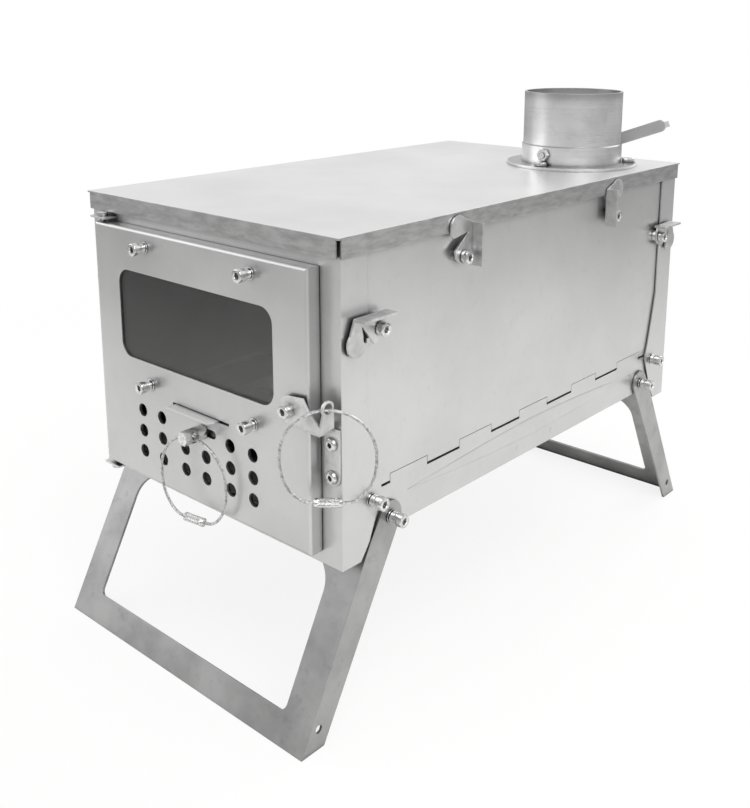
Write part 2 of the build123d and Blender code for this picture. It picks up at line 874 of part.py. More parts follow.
slider_front = door_inner + gap
slider_rear = slider_front + sheet
slider_top = lip_z + sheet / 2
strip_foot = slider_top + 2 * gap
keep_front = slider_rear + gap
with BuildPart() as glass_strip_lower:
    add(
        strip(
            [
                (door_inner, glass_low - gap),
                (strip_back, glass_low - gap),
                (strip_back, glass_low + strip_lip),
                (strip_back + sheet, glass_low + strip_lip),
                (strip_back + sheet, glass_low - gap - sheet),
                (door_inner + sheet, glass_low - gap - sheet),
                (door_inner + sheet, strip_foot + sheet),
                (keep_front + sheet, strip_foot + sheet),
                (keep_front + sheet, slider_top - slider_margin),
                (keep_front, slider_top - slider_margin),
                (keep_front, strip_foot),
                (door_inner, strip_foot),
            ],
            window_screw_lower,
        )
    )
save(glass_strip_lower, "glass_strip_lower")

# Window screws: cap screws on spring sleeves outside, nuts behind the strips
with BuildPart() as window_screws:
    for x, z in window_screw_places:
        screw_back = door_inner + sheet + nut_height
        add(
            turned(
                front_plane(x, screw_back, z),
                [
                    (screw_radius, screw_back - door_front),
                    (standoff_radius, standoff_length),
                    (screw_head_radius, screw_head_height),
                ],
            )
        )
save(window_screws, "window_screws")

with BuildPart() as window_nuts:
    for x, z in window_screw_places:
        add(
            hexagon(
                front_plane(x, door_inner + sheet + nut_height, z), nut_across, nut_height, screw_radius
            )
        )
save(window_nuts, "window_nuts")

# Air slider: a holed plate behind the vents, with a lip and a knob through the door
slider_left = vent_first_x - vent_radius - slide_forward - slider_margin
slider_right = vent_last_x + vent_radius + slide_back + slider_margin
with BuildPart() as slider_plate:
    with BuildSketch(Plane.XZ.offset(-slider_rear)):
        with Locations(((slider_left + slider_right) / 2, slider_bottom)):
            Rectangle(
                slider_right - slider_left,
                slider_top - slider_bottom,
                align=(Align.CENTER, Align.MIN),
            )
        with Locations(*[(x + slide_back / 2, z) for x, z in vent_places]):
            SlotCenterToCenter(slide_back, 2 * vent_radius, mode=Mode.SUBTRACT)
        with Locations((knob_x, knob_z)):
            Circle(knob_stem, mode=Mode.SUBTRACT)
    extrude(amount=sheet)
    with BuildSketch(Plane.XZ.offset(-slider_rear)):
        with Locations(((lip_left + lip_right) / 2, lip_z)):
            Rectangle(lip_right - lip_left, sheet)
    extrude(amount=slider_rear - door_front + lip_reach)
    lip_end = edges().filter_by(Axis.Z).sort_by(Axis.Y)[:2].sort_by(Axis.X)[-1]
    chamfer(lip_end, lip_reach / 2)
save(slider_plate, "slider_plate")

with BuildPart() as slider_knob:
    knob_seat = door_front - gap
    add(
        turned(
            front_plane(knob_x, slider_rear + sheet, knob_z),
            [(knob_across / 2, sheet), (knob_stem, slider_rear - knob_seat)],
        )
    )
    add(hexagon(front_plane(knob_x, knob_seat, knob_z), knob_across, knob_length))
    with BuildSketch(side_plane(knob_x - knob_across, knob_seat - knob_length + knob_hole_back, knob_z)):
        Circle(knob_hole_radius)
    extrude(amount=2 * knob_across, mode=Mode.SUBTRACT)
save(slider_knob, "slider_knob")

# Slider guide: a formed rail behind the slider's lower edge
rail_top = slider_bottom - gap
with BuildPart() as slider_guide:
    with BuildSketch(Plane.YZ.offset(slider_left - slide_back)):
        with BuildLine():
            Polyline(
                (door_inner, rail_top),
                (keep_front, rail_top),
                (keep_front, slider_bottom + slider_margin),
                (keep_front + sheet, slider_bottom + slider_margin),
                (keep_front + sheet, rail_top - sheet),
                (door_inner + sheet, rail_top - sheet),
                (door_inner + sheet, door_bottom + 2 * sheet),
                (door_inner, door_bottom + 2 * sheet),
                close=True,
            )
        make_face()
    extrude(amount=slider_right - slider_left + slide_back + slide_forward)
save(slider_guide, "slider_guide")

# Latch: a lever on a shouldered screw, with a folded wing that carries a wire loop
with BuildPart() as latch_pivot_screw:
    latch_back = door_inner + nut_height
    add(
        turned(
            front_plane(latch_x, latch_back, latch_z),
            [
                (screw_radius, latch_back - door_front),
                (sleeve_radius, latch_standoff - gap),
                (screw_radius, latch_sheet + 2 * gap),
                (screw_head_radius, screw_head_height),
            ],
        )
    )
    add(hexagon(front_plane(latch_x, latch_back, latch_z), nut_across, nut_height))
save(latch_pivot_screw, "latch_pivot_screw")

with BuildPart() as latch_lever:
    with BuildSketch(Plane.XZ.offset(-latch_inner)):
        with BuildLine():
            Line((latch_x, latch_low), (latch_right, latch_low))
            Line((latch_right, latch_low), (latch_right, latch_cut_z))
            RadiusArc(
                (latch_right, latch_cut_z), (latch_shoulder_x, latch_top), latch_cut_radius
            )
            Line((latch_shoulder_x, latch_top), (latch_x, latch_z + latch_radius))
            Line((latch_x, latch_z + latch_radius), (latch_x, latch_low))
        make_face()
        with Locations((latch_x, latch_z)):
            Circle(latch_radius)
            Circle(screw_radius + turning_fit, mode=Mode.SUBTRACT)
    extrude(amount=latch_sheet)
    wing_back = latch_inner + latch_wing_depth - latch_sheet
    with BuildSketch(Plane.YZ.offset(latch_right - latch_sheet)):
        with BuildLine():
            Polyline(
                (latch_outer, latch_low),
                (wing_back, latch_low + latch_sheet),
                (wing_back, hole_z),
                (hole_y - wing_hole_radius, hole_z),
                (latch_outer, latch_cut_z),
                close=True,
            )
        make_face()
        with Locations((hole_y, hole_z)):
            Circle(wing_back - hole_y)
            Circle(wing_hole_radius, mode=Mode.SUBTRACT)
    extrude(amount=latch_sheet)
save(latch_lever, "latch_lever")

# Keeper: a strip on the front panel whose upper end is bent out under the latch
tongue_top = latch_low - gap
with BuildPart() as latch_keeper:
    keeper_width = keeper_right - keeper_left
    keeper_mid = (keeper_left + keeper_right) / 2
    with BuildSketch(Plane.XZ.offset(half_length)):
        with Locations((keeper_mid, keeper_bottom + keeper_width / 2)):
            Circle(keeper_width / 2)
            Rectangle(
                keeper_width,
                tongue_top - keeper_bottom - keeper_width / 2,
                align=(Align.CENTER, Align.MIN),
            )
        with Locations(*[(keeper_mid, z) for z in keeper_screw_z]):
            Circle(screw_radius, mode=Mode.SUBTRACT)
    extrude(amount=sheet)
    with BuildSketch(Plane.XZ.offset(half_length)):
        with Locations((keeper_left, tongue_top)):
            Rectangle(keeper_tongue_width, sheet, align=(Align.MIN, Align.MAX))
    extrude(amount=-half_length - latch_inner + latch_sheet / 2)
save(latch_keeper, "latch_keeper")

with BuildPart() as keeper_screws:
    keeper_back = -half_length + sheet + nut_height
    for z in keeper_screw_z:
        add(
            turned(
                front_plane(keeper_mid, keeper_back, z),
                [
                    (screw_radius, keeper_back + half_length + sheet),
                    (screw_head_radius, screw_head_height / 2),
                ],
            )
        )
        add(hexagon(front_plane(keeper_mid, keeper_back, z), nut_across, nut_height))
save(keeper_screws, "keeper_screws")


def loop_route():
    """Half-symmetric loop points (along, up) from one end of the barrel to the other."""
    free = 180.0 - loop_free_angle
    rising = [loop_free_angle + free * step / loop_steps for step in range(loop_steps + 1)]
    arch = [
        (loop_radius * math.sin(math.radians(a)), loop_radius - loop_radius * math.cos(math.radians(a)))
        for a in rising
    ]
    half = [(barrel_length / 2, 0.0), *loop_foot, *arch]
    return half + [(-along, up) for along, up in reversed(half[:-1])]


def wire_loop(x, y, z, turn, name):
    """A wire loop and its crimp barrel hung by its top at a point, turned about Z."""
    top_drop = gap
    direction = Vector(1, 0, 0).rotate(Axis.Z, turn)
    foot = Vector(x, y, z - top_drop - 2 * loop_radius)
    route = [foot + direction * along + Vector(0, 0, up) for along, up in loop_route()]
    radii = []
    for a, b, c in zip(route, route[1:], route[2:]):
        half_turn = math.radians((b - a).get_angle(c - b) / 2)
        run = min((b - a).length, (c - b).length)
        radii.append(0.45 * run / math.tan(half_turn))
    print(name, "least bend radius", round(min(radii), 1))
    with BuildPart() as wire:
        with BuildLine() as path:
            FilletPolyline(*route, radius=radii)
        with BuildSketch(Plane(origin=route[0], z_dir=direction)):
            Circle(wire_radius)
        sweep(path=path.line)
    save(wire, f"{name}_wire")
    wire_length = path.wires()[0].length
    tube_volume = wire_length * math.pi * wire_radius**2
    print(name, "length", round(wire_length, 1), "volume", round(wire.part.volume / tube_volume, 4))
    with BuildPart() as barrel:
        start = foot - direction * (barrel_length / 2)
        add(turned(Plane(origin=start, z_dir=direction), [(barrel_radius, barrel_length)]))
    save(barrel, f"{name}_barrel")


wire_loop(
    knob_x, knob_seat - knob_length + knob_hole_back, knob_z, slider_loop_turn, "slider_loop"
)
wire_loop(wing_x, hole_y, hole_z, latch_loop_turn, "latch_loop")

# Legs: a windowed plate between two flanges that turn on the leg pivots
lean = math.radians(leg_lean)
leg_fold_y = -leg_pivot_y - (leg_face_offset + math.sin(lean) * leg_pivot_z) / math.cos(lean)
leg_pivot_t = math.sin(lean) * (-leg_pivot_y - leg_fold_y) + math.cos(lean) * leg_pivot_z
peg_hole_y = -leg_fold_y - peg_hole_inward
leg_window_half = leg_outer - leg_window_side
leg_plane = Plane(
    origin=(0, leg_fold_y, 0), x_dir=(1, 0, 0), z_dir=(0, -math.cos(lean), math.sin(lean))
)


def leg_point(up, inward):
    """A (y, z) place on the front leg: up along its face and inward from it."""
    return (
        leg_fold_y + math.sin(lean) * up + math.cos(lean) * inward,
        math.cos(lean) * up - math.sin(lean) * inward,
    )


with BuildPart() as front_leg:
    with BuildSketch(leg_plane):
        with Locations((0, -2 * leg_sheet)):
            Rectangle(
                2 * leg_outer,
                leg_pivot_t - leg_top_drop + 2 * leg_sheet,
                align=(Align.CENTER, Align.MIN),
            )
    extrude(amount=-leg_sheet)
    with BuildSketch(leg_plane) as leg_window:
        with Locations((0, (leg_window_low + leg_window_high) / 2)):
            Rectangle(2 * leg_window_half, leg_window_high - leg_window_low)
        fillet(leg_window.vertices().group_by(Axis.Y)[-1], leg_window_corner)
        fillet(leg_window.vertices().group_by(Axis.Y)[0], leg_window_foot_corner)
    extrude(amount=-leg_sheet, mode=Mode.SUBTRACT)
    for wall_x in (-leg_outer, leg_outer - leg_sheet):
        with BuildSketch(Plane.YZ.offset(wall_x)):
            with BuildLine():
                Polyline(
                    leg_point(leg_pivot_t - leg_top_drop, 0),
                    (leg_fold_y, 0),
                    (leg_fold_y + leg_foot_width, 0),
                    leg_point(leg_pivot_t, leg_face_offset + leg_pivot_radius),
                    leg_point(leg_pivot_t, leg_face_offset - leg_pivot_radius),
                    close=True,
                )
            make_face()
            with Locations((-leg_pivot_y, leg_pivot_z)):
                Circle(leg_pivot_radius)
                Circle(screw_radius + turning_fit, mode=Mode.SUBTRACT)
            with Locations((-peg_hole_y, peg_hole_z)):
                Circle(peg_hole_radius, mode=Mode.SUBTRACT)
        extrude(amount=leg_sheet)
    split(bisect_by=Plane.XY, keep=Keep.TOP)
save(front_leg, "front_leg")

with BuildPart() as rear_leg:
    mirror(front_leg.part, about=Plane.XZ)
save(rear_leg, "rear_leg")
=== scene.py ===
"""The folding tent wood stove as it looks: finishes, dressed fasteners, wire loops and studio."""

from __future__ import annotations

import logging
import math
from dataclasses import dataclass, field
from enum import Enum

import bmesh
import bpy
from mathutils import Euler, Matrix, Vector

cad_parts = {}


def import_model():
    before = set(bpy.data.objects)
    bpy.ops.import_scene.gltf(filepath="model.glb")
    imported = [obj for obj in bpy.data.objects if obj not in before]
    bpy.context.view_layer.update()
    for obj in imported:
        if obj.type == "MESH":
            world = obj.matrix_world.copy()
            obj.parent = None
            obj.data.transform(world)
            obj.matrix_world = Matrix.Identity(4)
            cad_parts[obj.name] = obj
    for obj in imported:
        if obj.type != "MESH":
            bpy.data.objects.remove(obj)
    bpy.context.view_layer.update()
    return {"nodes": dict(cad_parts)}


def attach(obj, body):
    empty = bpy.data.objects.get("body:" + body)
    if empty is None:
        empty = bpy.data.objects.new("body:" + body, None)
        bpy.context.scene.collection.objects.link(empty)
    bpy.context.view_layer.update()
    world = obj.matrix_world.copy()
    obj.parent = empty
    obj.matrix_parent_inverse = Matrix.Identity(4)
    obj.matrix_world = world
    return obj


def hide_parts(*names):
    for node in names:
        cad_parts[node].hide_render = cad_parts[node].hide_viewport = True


LOG = logging.getLogger("stove")
MM = 0.001

Point = tuple[float, float, float]

# A face whose normal rises more than this counts as level
LEVEL_FACE = 0.5
FORWARD: Point = (0.0, -1.0, 0.0)
UPWARD: Point = (0.0, 0.0, 1.0)


class Side(Enum):
    """Which side of the stove a mirrored fitting sits on."""

    RIGHT = 1
    LEFT = -1


class RingShape(Enum):
    """The outline of one ring in a turned or hexagonal fitting."""

    ROUND = "round"
    HEX = "hex"
    KNURLED = "knurled"


def linear(colour: str) -> tuple[float, float, float, float]:
    """Turn an sRGB hex colour into linear RGBA.

    Args:
        colour: the colour as "#RRGGBB".

    Returns:
        The linear red, green and blue, and an alpha of one.
    """
    parts = [int(colour[i : i + 2], 16) / 255 for i in (1, 3, 5)]
    low = [c / 12.92 if c <= 0.04045 else ((c + 0.055) / 1.055) ** 2.4 for c in parts]
    return (*low, 1.0)


def add_node(
    tree: bpy.types.NodeTree,
    kind: str,
    settings: dict[str, object] | None = None,
    **inputs: object,
) -> bpy.types.Node:
    """Add a node with its settings and its links.

    Args:
        tree: the node tree that gets the node.
        kind: the node's type name.
        settings: properties of the node itself.
        inputs: values or output sockets by input name, with underscores for spaces;
            a name such as i2 means the input at that index.

    Returns:
        The new node.
    """
    node = tree.nodes.new(kind)
    for name, value in (settings or {}).items():
        setattr(node, name, value)
    for name, value in inputs.items():
        if name[0] == "i" and name[1:].isdigit():
            socket = node.inputs[int(name[1:])]
        else:
            socket = node.inputs[name.replace("_", " ")]
        if isinstance(value, bpy.types.NodeSocket):
            tree.links.new(value, socket)
        else:
            socket.default_value = value
    return node


def colour_ramp(
    tree: bpy.types.NodeTree, value: bpy.types.NodeSocket, stops: list[tuple[float, str]]
) -> bpy.types.NodeSocket:
    """Turn a value into a colour between hex stops.

    Args:
        tree: the material's node tree.
        value: the factor socket.
        stops: (position, sRGB hex) pairs in rising order.

    Returns:
        The colour output.
    """
    ramp = add_node(tree, "ShaderNodeValToRGB", Fac=value)
    elements = ramp.color_ramp.elements
    while len(elements) < len(stops):
        elements.new(0.5)
    for element, (position, colour) in zip(elements, stops):
        element.position = position
        element.color = linear(colour)
    return ramp.outputs["Color"]


def scaled(
    tree: bpy.types.NodeTree,
    value: bpy.types.NodeSocket,
    low: float,
    high: float,
    start: float = 0.0,
    end: float = 1.0,
    smooth: bool = False,
) -> bpy.types.NodeSocket:
    """Map a value between two marks to low..high.

    Args:
        tree: the node tree.
        value: the socket with the value.
        low: the result at the first mark.
        high: the result at the second mark.
        start: the first mark.
        end: the second mark.
        smooth: whether the change eases in and out.

    Returns:
        The mapped output.
    """
    node = add_node(
        tree,
        "ShaderNodeMapRange",
        {"interpolation_type": "SMOOTHSTEP" if smooth else "LINEAR"},
        Value=value,
        From_Min=start,
        From_Max=end,
        To_Min=low,
        To_Max=high,
    )
    return node.outputs["Result"]


def maths(
    tree: bpy.types.NodeTree,
    operation: str,
    first: bpy.types.NodeSocket | float,
    second: bpy.types.NodeSocket | float = 0.0,
) -> bpy.types.NodeSocket:
    """Work out one value from two.

    Args:
        tree: the node tree.
        operation: the maths node's operation.
        first: the first value or socket.
        second: the second value or socket.

    Returns:
        The result.
    """
    node = add_node(tree, "ShaderNodeMath", {"operation": operation}, i0=first, i1=second)
    return node.outputs["Value"]


def object_axes(tree: bpy.types.NodeTree) -> bpy.types.bpy_prop_collection:
    """The X, Y and Z of the shaded point in the object's own metres."""
    coordinates = add_node(tree, "ShaderNodeTexCoord")
    return add_node(tree, "ShaderNodeSeparateXYZ", Vector=coordinates.outputs["Object"]).outputs


def upward_share(tree: bpy.types.NodeTree) -> bpy.types.NodeSocket:
    """How far the shaded face looks up, from -1 to 1."""
    geometry = add_node(tree, "ShaderNodeNewGeometry")
    normal = add_node(tree, "ShaderNodeSeparateXYZ", Vector=geometry.outputs["True Normal"])
    return normal.outputs["Z"]


def stretched_noise(
    tree: bpy.types.NodeTree,
    grain_mm: Point,
    detail: float = 3.0,
    rough: float = 0.5,
    turn: Point = (0.0, 0.0, 0.0),
) -> bpy.types.NodeSocket:
    """A noise whose cells have a real size in millimetres along each axis.

    Args:
        tree: the material's node tree.
        grain_mm: cell size along X, Y and Z.
        detail: octaves.
        rough: how strong the finer octaves are.
        turn: turn of the pattern in degrees.

    Returns:
        The noise value.
    """
    coordinates = add_node(tree, "ShaderNodeTexCoord")
    mapping = add_node(
        tree,
        "ShaderNodeMapping",
        Vector=coordinates.outputs["Object"],
        Rotation=tuple(math.radians(a) for a in turn),
        Scale=tuple(1.0 / (g * MM) for g in grain_mm),
    )
    noise = add_node(
        tree,
        "ShaderNodeTexNoise",
        Vector=mapping.outputs["Vector"],
        Scale=1.0,
        Detail=detail,
        Roughness=rough,
    )
    return noise.outputs["Fac"]


def mixed(
    tree: bpy.types.NodeTree,
    factor: bpy.types.NodeSocket | float,
    first: object,
    second: object,
) -> bpy.types.NodeSocket:
    """Mix two colours.

    Args:
        tree: the material's node tree.
        factor: how much of the second colour shows.
        first: the first colour or socket.
        second: the second colour or socket.

    Returns:
        The mixed colour.
    """
    # The colour inputs of a mix node stand at places 6 and 7, and its colour output at place 2
    node = add_node(tree, "ShaderNodeMix", {"data_type": "RGBA"}, i0=factor, i6=first, i7=second)
    return node.outputs[2]


def new_material(name: str) -> tuple[bpy.types.Material, bpy.types.NodeTree, bpy.types.Node]:
    """Make an empty node material.

    Args:
        name: the material's name.

    Returns:
        The material, its tree and its principled shader.
    """
    material = bpy.data.materials.new(name)
    material.use_nodes = True
    tree = material.node_tree
    tree.nodes.clear()
    shader = add_node(tree, "ShaderNodeBsdfPrincipled")
    add_node(tree, "ShaderNodeOutputMaterial", Surface=shader.outputs["BSDF"])
    return material, tree, shader


def show_instead(
    tree: bpy.types.NodeTree,
    share: bpy.types.NodeSocket,
    shader: bpy.types.NodeSocket,
    other: bpy.types.NodeSocket,
) -> None:
    """Show another shader where a share asks for it.

    Args:
        tree: the material's node tree.
        share: how much of the other shader shows.
        shader: the material's own shader.
        other: the other shader.
    """
    blend = add_node(tree, "ShaderNodeMixShader", i0=share, i1=shader, i2=other)
    output = next(n for n in tree.nodes if n.bl_idname == "ShaderNodeOutputMaterial")
    tree.links.new(blend.outputs["Shader"], output.inputs["Surface"])


def face_height(
    tree: bpy.types.NodeTree,
    height: bpy.types.NodeSocket,
    depth_mm: float,
    strength: float,
    edge_mm: float,
) -> bpy.types.NodeSocket:
    """A bump over edges that catch the light as a small bend radius does.

    Args:
        tree: the material's node tree.
        height: the height value.
        depth_mm: how deep the pattern is.
        strength: the bump's strength.
        edge_mm: the radius of the shaded edge.

    Returns:
        The normal output.
    """
    edge = add_node(tree, "ShaderNodeBevel", {"samples": 4}, Radius=edge_mm * MM)
    bump = add_node(
        tree,
        "ShaderNodeBump",
        Height=height,
        Distance=depth_mm * MM,
        Strength=strength,
        Normal=edge.outputs["Normal"],
    )
    return bump.outputs["Normal"]


def contact_shade(
    tree: bpy.types.NodeTree,
    body: bpy.types.NodeSocket,
    reach_mm: float,
    shade: str,
    closed_share: float = 0.1,
    open_share: float = 0.85,
) -> bpy.types.NodeSocket:
    """Paint shade on a finish where another piece stands close to it, as ambient occlusion finds it.

    Args:
        tree: the material's node tree.
        body: the colour so far.
        reach_mm: how far the darkening reaches.
        shade: the colour in the closest corner.
        closed_share: how open a corner with the full shade is.
        open_share: how open a place without shade is.

    Returns:
        The shaded colour.
    """
    near = add_node(tree, "ShaderNodeAmbientOcclusion", {"samples": 6}, Distance=reach_mm * MM)
    clear = scaled(tree, near.outputs["AO"], 0.0, 1.0, closed_share, open_share, smooth=True)
    return mixed(tree, clear, linear(shade), body)


def inside_box(
    tree: bpy.types.NodeTree, half_x: float, half_y: float, top: float
) -> bpy.types.NodeSocket:
    """Find the faces that lie inside the firebox.

    Args:
        tree: the material's node tree.
        half_x: half the inner width in mm.
        half_y: half the inner length in mm.
        top: the height of the lid's underside in mm.

    Returns:
        One inside and zero outside.
    """
    axes = object_axes(tree)
    beside = maths(tree, "LESS_THAN", maths(tree, "ABSOLUTE", axes["X"]), half_x * MM)
    between = maths(tree, "LESS_THAN", maths(tree, "ABSOLUTE", axes["Y"]), half_y * MM)
    below = maths(tree, "LESS_THAN", axes["Z"], top * MM)
    return maths(tree, "MULTIPLY", maths(tree, "MULTIPLY", beside, between), below)


@dataclass(frozen=True)
class PickledTitanium:
    """Titanium sheet, cold rolled, acid pickled and lightly brushed.

    Pickling leaves a pale satin grey with soft cloudy patches, and the rolls leave fine
    straight grain, so it gives the eye broad soft reflections instead of sharp ones.
    """

    name: str = "pickled_titanium_sheet"
    pale: str = "#D2D2D2"
    dark: str = "#C8C8C8"
    stain: str = "#B4B4B4"
    contact: str = "#4A4A4A"
    skirt: str | None = None
    smoked: str | None = None
    roughness_low: float = 0.28
    roughness_high: float = 0.38
    metallic: float = 0.9
    cloud_mm: float = 70.0
    grain_mm: Point = (0.9, 14.0, 0.9)
    grain_depth_mm: float = 0.03
    grain_strength: float = 0.12
    bend_mm: float = 0.5
    mark_mm: float = 7.0
    mottle: float = 0.25
    streak: float = 0.16
    scuff_mm: Point = (11.0, 11.0, 3.0)
    scuff_turn: Point = (12.0, 0.0, 0.0)
    contact_mm: float = 5.0
    inner_half_x: float = 96.8
    inner_half_y: float = 165.2
    inner_top: float = 252.7

    def build(self) -> bpy.types.Material:
        """Make the material.

        Returns:
            The finished material.
        """
        material, tree, shader = new_material(self.name)
        clouds = stretched_noise(tree, (self.cloud_mm,) * 3, 4.0, 0.55)
        body = colour_ramp(tree, clouds, [(0.32, self.dark), (0.62, self.pale)])
        # Handling marks: small darker freckles that only show close up
        marks = stretched_noise(tree, (self.mark_mm,) * 3, 6.0, 0.7)
        spots = scaled(tree, marks, 0.0, self.mottle, 0.56, 0.72)
        body = mixed(tree, spots, body, linear(self.stain))
        grain = stretched_noise(tree, self.grain_mm, 2.0, 0.6)
        body = mixed(tree, scaled(tree, grain, 0.0, self.streak), body, linear(self.dark))
        # Painted shade: the faces that don't look up are darker, as less light falls on them
        if self.skirt is not None:
            body = self.worn_skirt(tree, body)
        # Painted shade where another piece stands close, as beside catches, screws and joints
        body = contact_shade(tree, body, self.contact_mm, self.contact)
        # Painted shade: the faces inside the firebox are darker, for the dim inside of the box
        if self.smoked is not None:
            inner = inside_box(tree, self.inner_half_x, self.inner_half_y, self.inner_top)
            body = mixed(tree, inner, body, linear(self.smoked))
        tree.links.new(body, shader.inputs["Base Color"])
        roughness = scaled(tree, clouds, self.roughness_low, self.roughness_high)
        tree.links.new(roughness, shader.inputs["Roughness"])
        normal = face_height(
            tree, grain, self.grain_depth_mm, self.grain_strength, self.bend_mm
        )
        tree.links.new(normal, shader.inputs["Normal"])
        shader.inputs["Metallic"].default_value = self.metallic
        return material

    def worn_skirt(
        self, tree: bpy.types.NodeTree, body: bpy.types.NodeSocket
    ) -> bpy.types.NodeSocket:
        """Paint shade on the folded rim and every other face that doesn't look up, with a mottled
        pattern in it.

        Args:
            tree: the material's node tree.
            body: the colour so far.

        Returns:
            The colour with those faces in painted shade and mottled.
        """
        upright = maths(tree, "LESS_THAN", upward_share(tree), LEVEL_FACE)
        scratches = stretched_noise(tree, self.scuff_mm, 4.0, 0.6, self.scuff_turn)
        scuffed = colour_ramp(tree, scratches, [(0.30, self.stain), (0.62, self.skirt)])
        return mixed(tree, upright, body, scuffed)


@dataclass(frozen=True)
class SpunTitanium:
    """Titanium tube finished on the lathe, with rings round it and a heat-dulled lip.

    The rings give the eye narrow upright highlights that follow the tube.
    """

    name: str = "spun_titanium_tube"
    pale: str = "#F2F2F2"
    dark: str = "#EAEAEA"
    blotch: str = "#D2D2D2"
    lip: str = "#A2A2A2"
    ledge: str = "#A2A2A2"
    contact: str = "#3C3C3C"
    lip_start_mm: float = 294.0
    top_mm: float = 302.2
    ledge_top_mm: float = 290.0
    ring_mm: Point = (60.0, 60.0, 0.9)
    blotch_mm: float = 16.0
    contact_mm: float = 4.0
    roughness_low: float = 0.24
    roughness_high: float = 0.34
    metallic: float = 0.95

    def build(self) -> bpy.types.Material:
        """Make the material.

        Returns:
            The finished material.
        """
        material, tree, shader = new_material(self.name)
        rings = stretched_noise(tree, self.ring_mm, 3.0, 0.6)
        body = colour_ramp(tree, rings, [(0.3, self.dark), (0.7, self.pale)])
        blotches = stretched_noise(tree, (self.blotch_mm,) * 3, 4.0, 0.6)
        tarnish = scaled(tree, blotches, 0.0, 0.6, 0.45, 0.7)
        body = mixed(tree, tarnish, body, linear(self.blotch))
        height = object_axes(tree)["Z"]
        dulled = scaled(
            tree, height, 0.0, 0.7, self.lip_start_mm * MM, self.top_mm * MM, smooth=True
        )
        body = mixed(tree, dulled, body, linear(self.lip))
        # Painted reflection: the flange and the shoulder face up, and hold the tube's dim reflection
        flat = maths(tree, "GREATER_THAN", upward_share(tree), LEVEL_FACE)
        low = maths(tree, "LESS_THAN", height, self.ledge_top_mm * MM)
        body = mixed(tree, maths(tree, "MULTIPLY", flat, low), body, linear(self.ledge))
        # Painted shade where another piece stands close to the tube
        body = contact_shade(tree, body, self.contact_mm, self.contact)
        tree.links.new(body, shader.inputs["Base Color"])
        roughness = scaled(tree, rings, self.roughness_low, self.roughness_high)
        tree.links.new(roughness, shader.inputs["Roughness"])
        tree.links.new(face_height(tree, rings, 0.02, 0.1, 0.2), shader.inputs["Normal"])
        shader.inputs["Metallic"].default_value = self.metallic
        return material


@dataclass(frozen=True)
class TurnedStainless:
    """Turned and tumbled A2 stainless steel, as cap screws have it.

    It gives the eye small bright highlights with nearly black reflections beside them.
    """

    name: str = "turned_stainless_steel"
    pale: str = "#E6E6E6"
    dark: str = "#B0B0B0"
    recess: str = "#1C1C1C"
    recess_mm: float = 2.2
    grain_mm: float = 0.9
    roughness_low: float = 0.12
    roughness_high: float = 0.26

    def build(self) -> bpy.types.Material:
        """Make the material.

        Returns:
            The finished material.
        """
        material, tree, shader = new_material(self.name)
        grain = stretched_noise(tree, (self.grain_mm,) * 3, 4.0, 0.6)
        body = colour_ramp(tree, grain, [(0.35, self.dark), (0.6, self.pale)])
        # Painted shade in the sockets and wherever another piece stands close
        body = contact_shade(tree, body, self.recess_mm, self.recess)
        tree.links.new(body, shader.inputs["Base Color"])
        roughness = scaled(tree, grain, self.roughness_low, self.roughness_high)
        tree.links.new(roughness, shader.inputs["Roughness"])
        tree.links.new(face_height(tree, grain, 0.02, 0.1, 0.15), shader.inputs["Normal"])
        shader.inputs["Metallic"].default_value = 1.0
        return material


@dataclass(frozen=True)
class BraidedStainless:
    """Drawn stainless wire twisted into a rope, with dull grooves between its strands."""

    name: str = "braided_stainless_wire"
    pale: str = "#DADADA"
    dark: str = "#A2A2A2"
    grime_mm: float = 1.5
    roughness_low: float = 0.22
    roughness_high: float = 0.4

    def build(self) -> bpy.types.Material:
        """Make the material.

        Returns:
            The finished material.
        """
        material, tree, shader = new_material(self.name)
        grime = stretched_noise(tree, (self.grime_mm,) * 3, 4.0, 0.6)
        body = colour_ramp(tree, grime, [(0.36, self.dark), (0.58, self.pale)])
        tree.links.new(body, shader.inputs["Base Color"])
        roughness = scaled(tree, grime, self.roughness_low, self.roughness_high)
        tree.links.new(roughness, shader.inputs["Roughness"])
        shader.inputs["Metallic"].default_value = 1.0
        return material


@dataclass(frozen=True)
class HeatGlass:
    """Heat-resistant ceramic glass, polished, with the faint smoke tint of its kind.

    It gives the eye a clear sheen over a dim view of the firebox.
    """

    name: str = "heat_resistant_glass"
    tint: str = "#8E8E8E"
    shade: str = "#808080"
    lit: str = "#F4F4F4"
    clear: str = "#8E8E8E"
    haze_mm: Point = (16.0, 16.0, 9.0)
    lit_share: float = 0.75
    dim_corner_mm: float = -220.0
    lit_corner_mm: float = -110.0
    roughness_low: float = 0.02
    roughness_high: float = 0.06
    ior: float = 1.5

    def build(self) -> bpy.types.Material:
        """Make the material.

        Returns:
            The finished material.
        """
        material, tree, shader = new_material(self.name)
        haze = stretched_noise(tree, self.haze_mm, 5.0, 0.6)
        tint = colour_ramp(tree, haze, [(0.3, self.shade), (0.7, self.tint)])
        # Painted light: the glass is paler towards the window's lower right, where X less Z is
        # largest, for the firebox lit there
        axes = object_axes(tree)
        lit = scaled(
            tree, maths(tree, "SUBTRACT", axes["X"], axes["Z"]), 0.0, self.lit_share,
            self.dim_corner_mm * MM, self.lit_corner_mm * MM, smooth=True,
        )
        tint = mixed(tree, lit, tint, linear(self.lit))
        tree.links.new(tint, shader.inputs["Base Color"])
        roughness = scaled(tree, haze, self.roughness_low, self.roughness_high)
        tree.links.new(roughness, shader.inputs["Roughness"])
        shader.inputs["Transmission Weight"].default_value = 1.0
        shader.inputs["IOR"].default_value = self.ior
        # Light passes straight through for shadows, so that the firebox is lit as it is behind glass
        path = add_node(tree, "ShaderNodeLightPath")
        clear = add_node(tree, "ShaderNodeBsdfTransparent", Color=linear(self.clear))
        show_instead(
            tree, path.outputs["Is Shadow Ray"], shader.outputs["BSDF"], clear.outputs["BSDF"]
        )
        return material


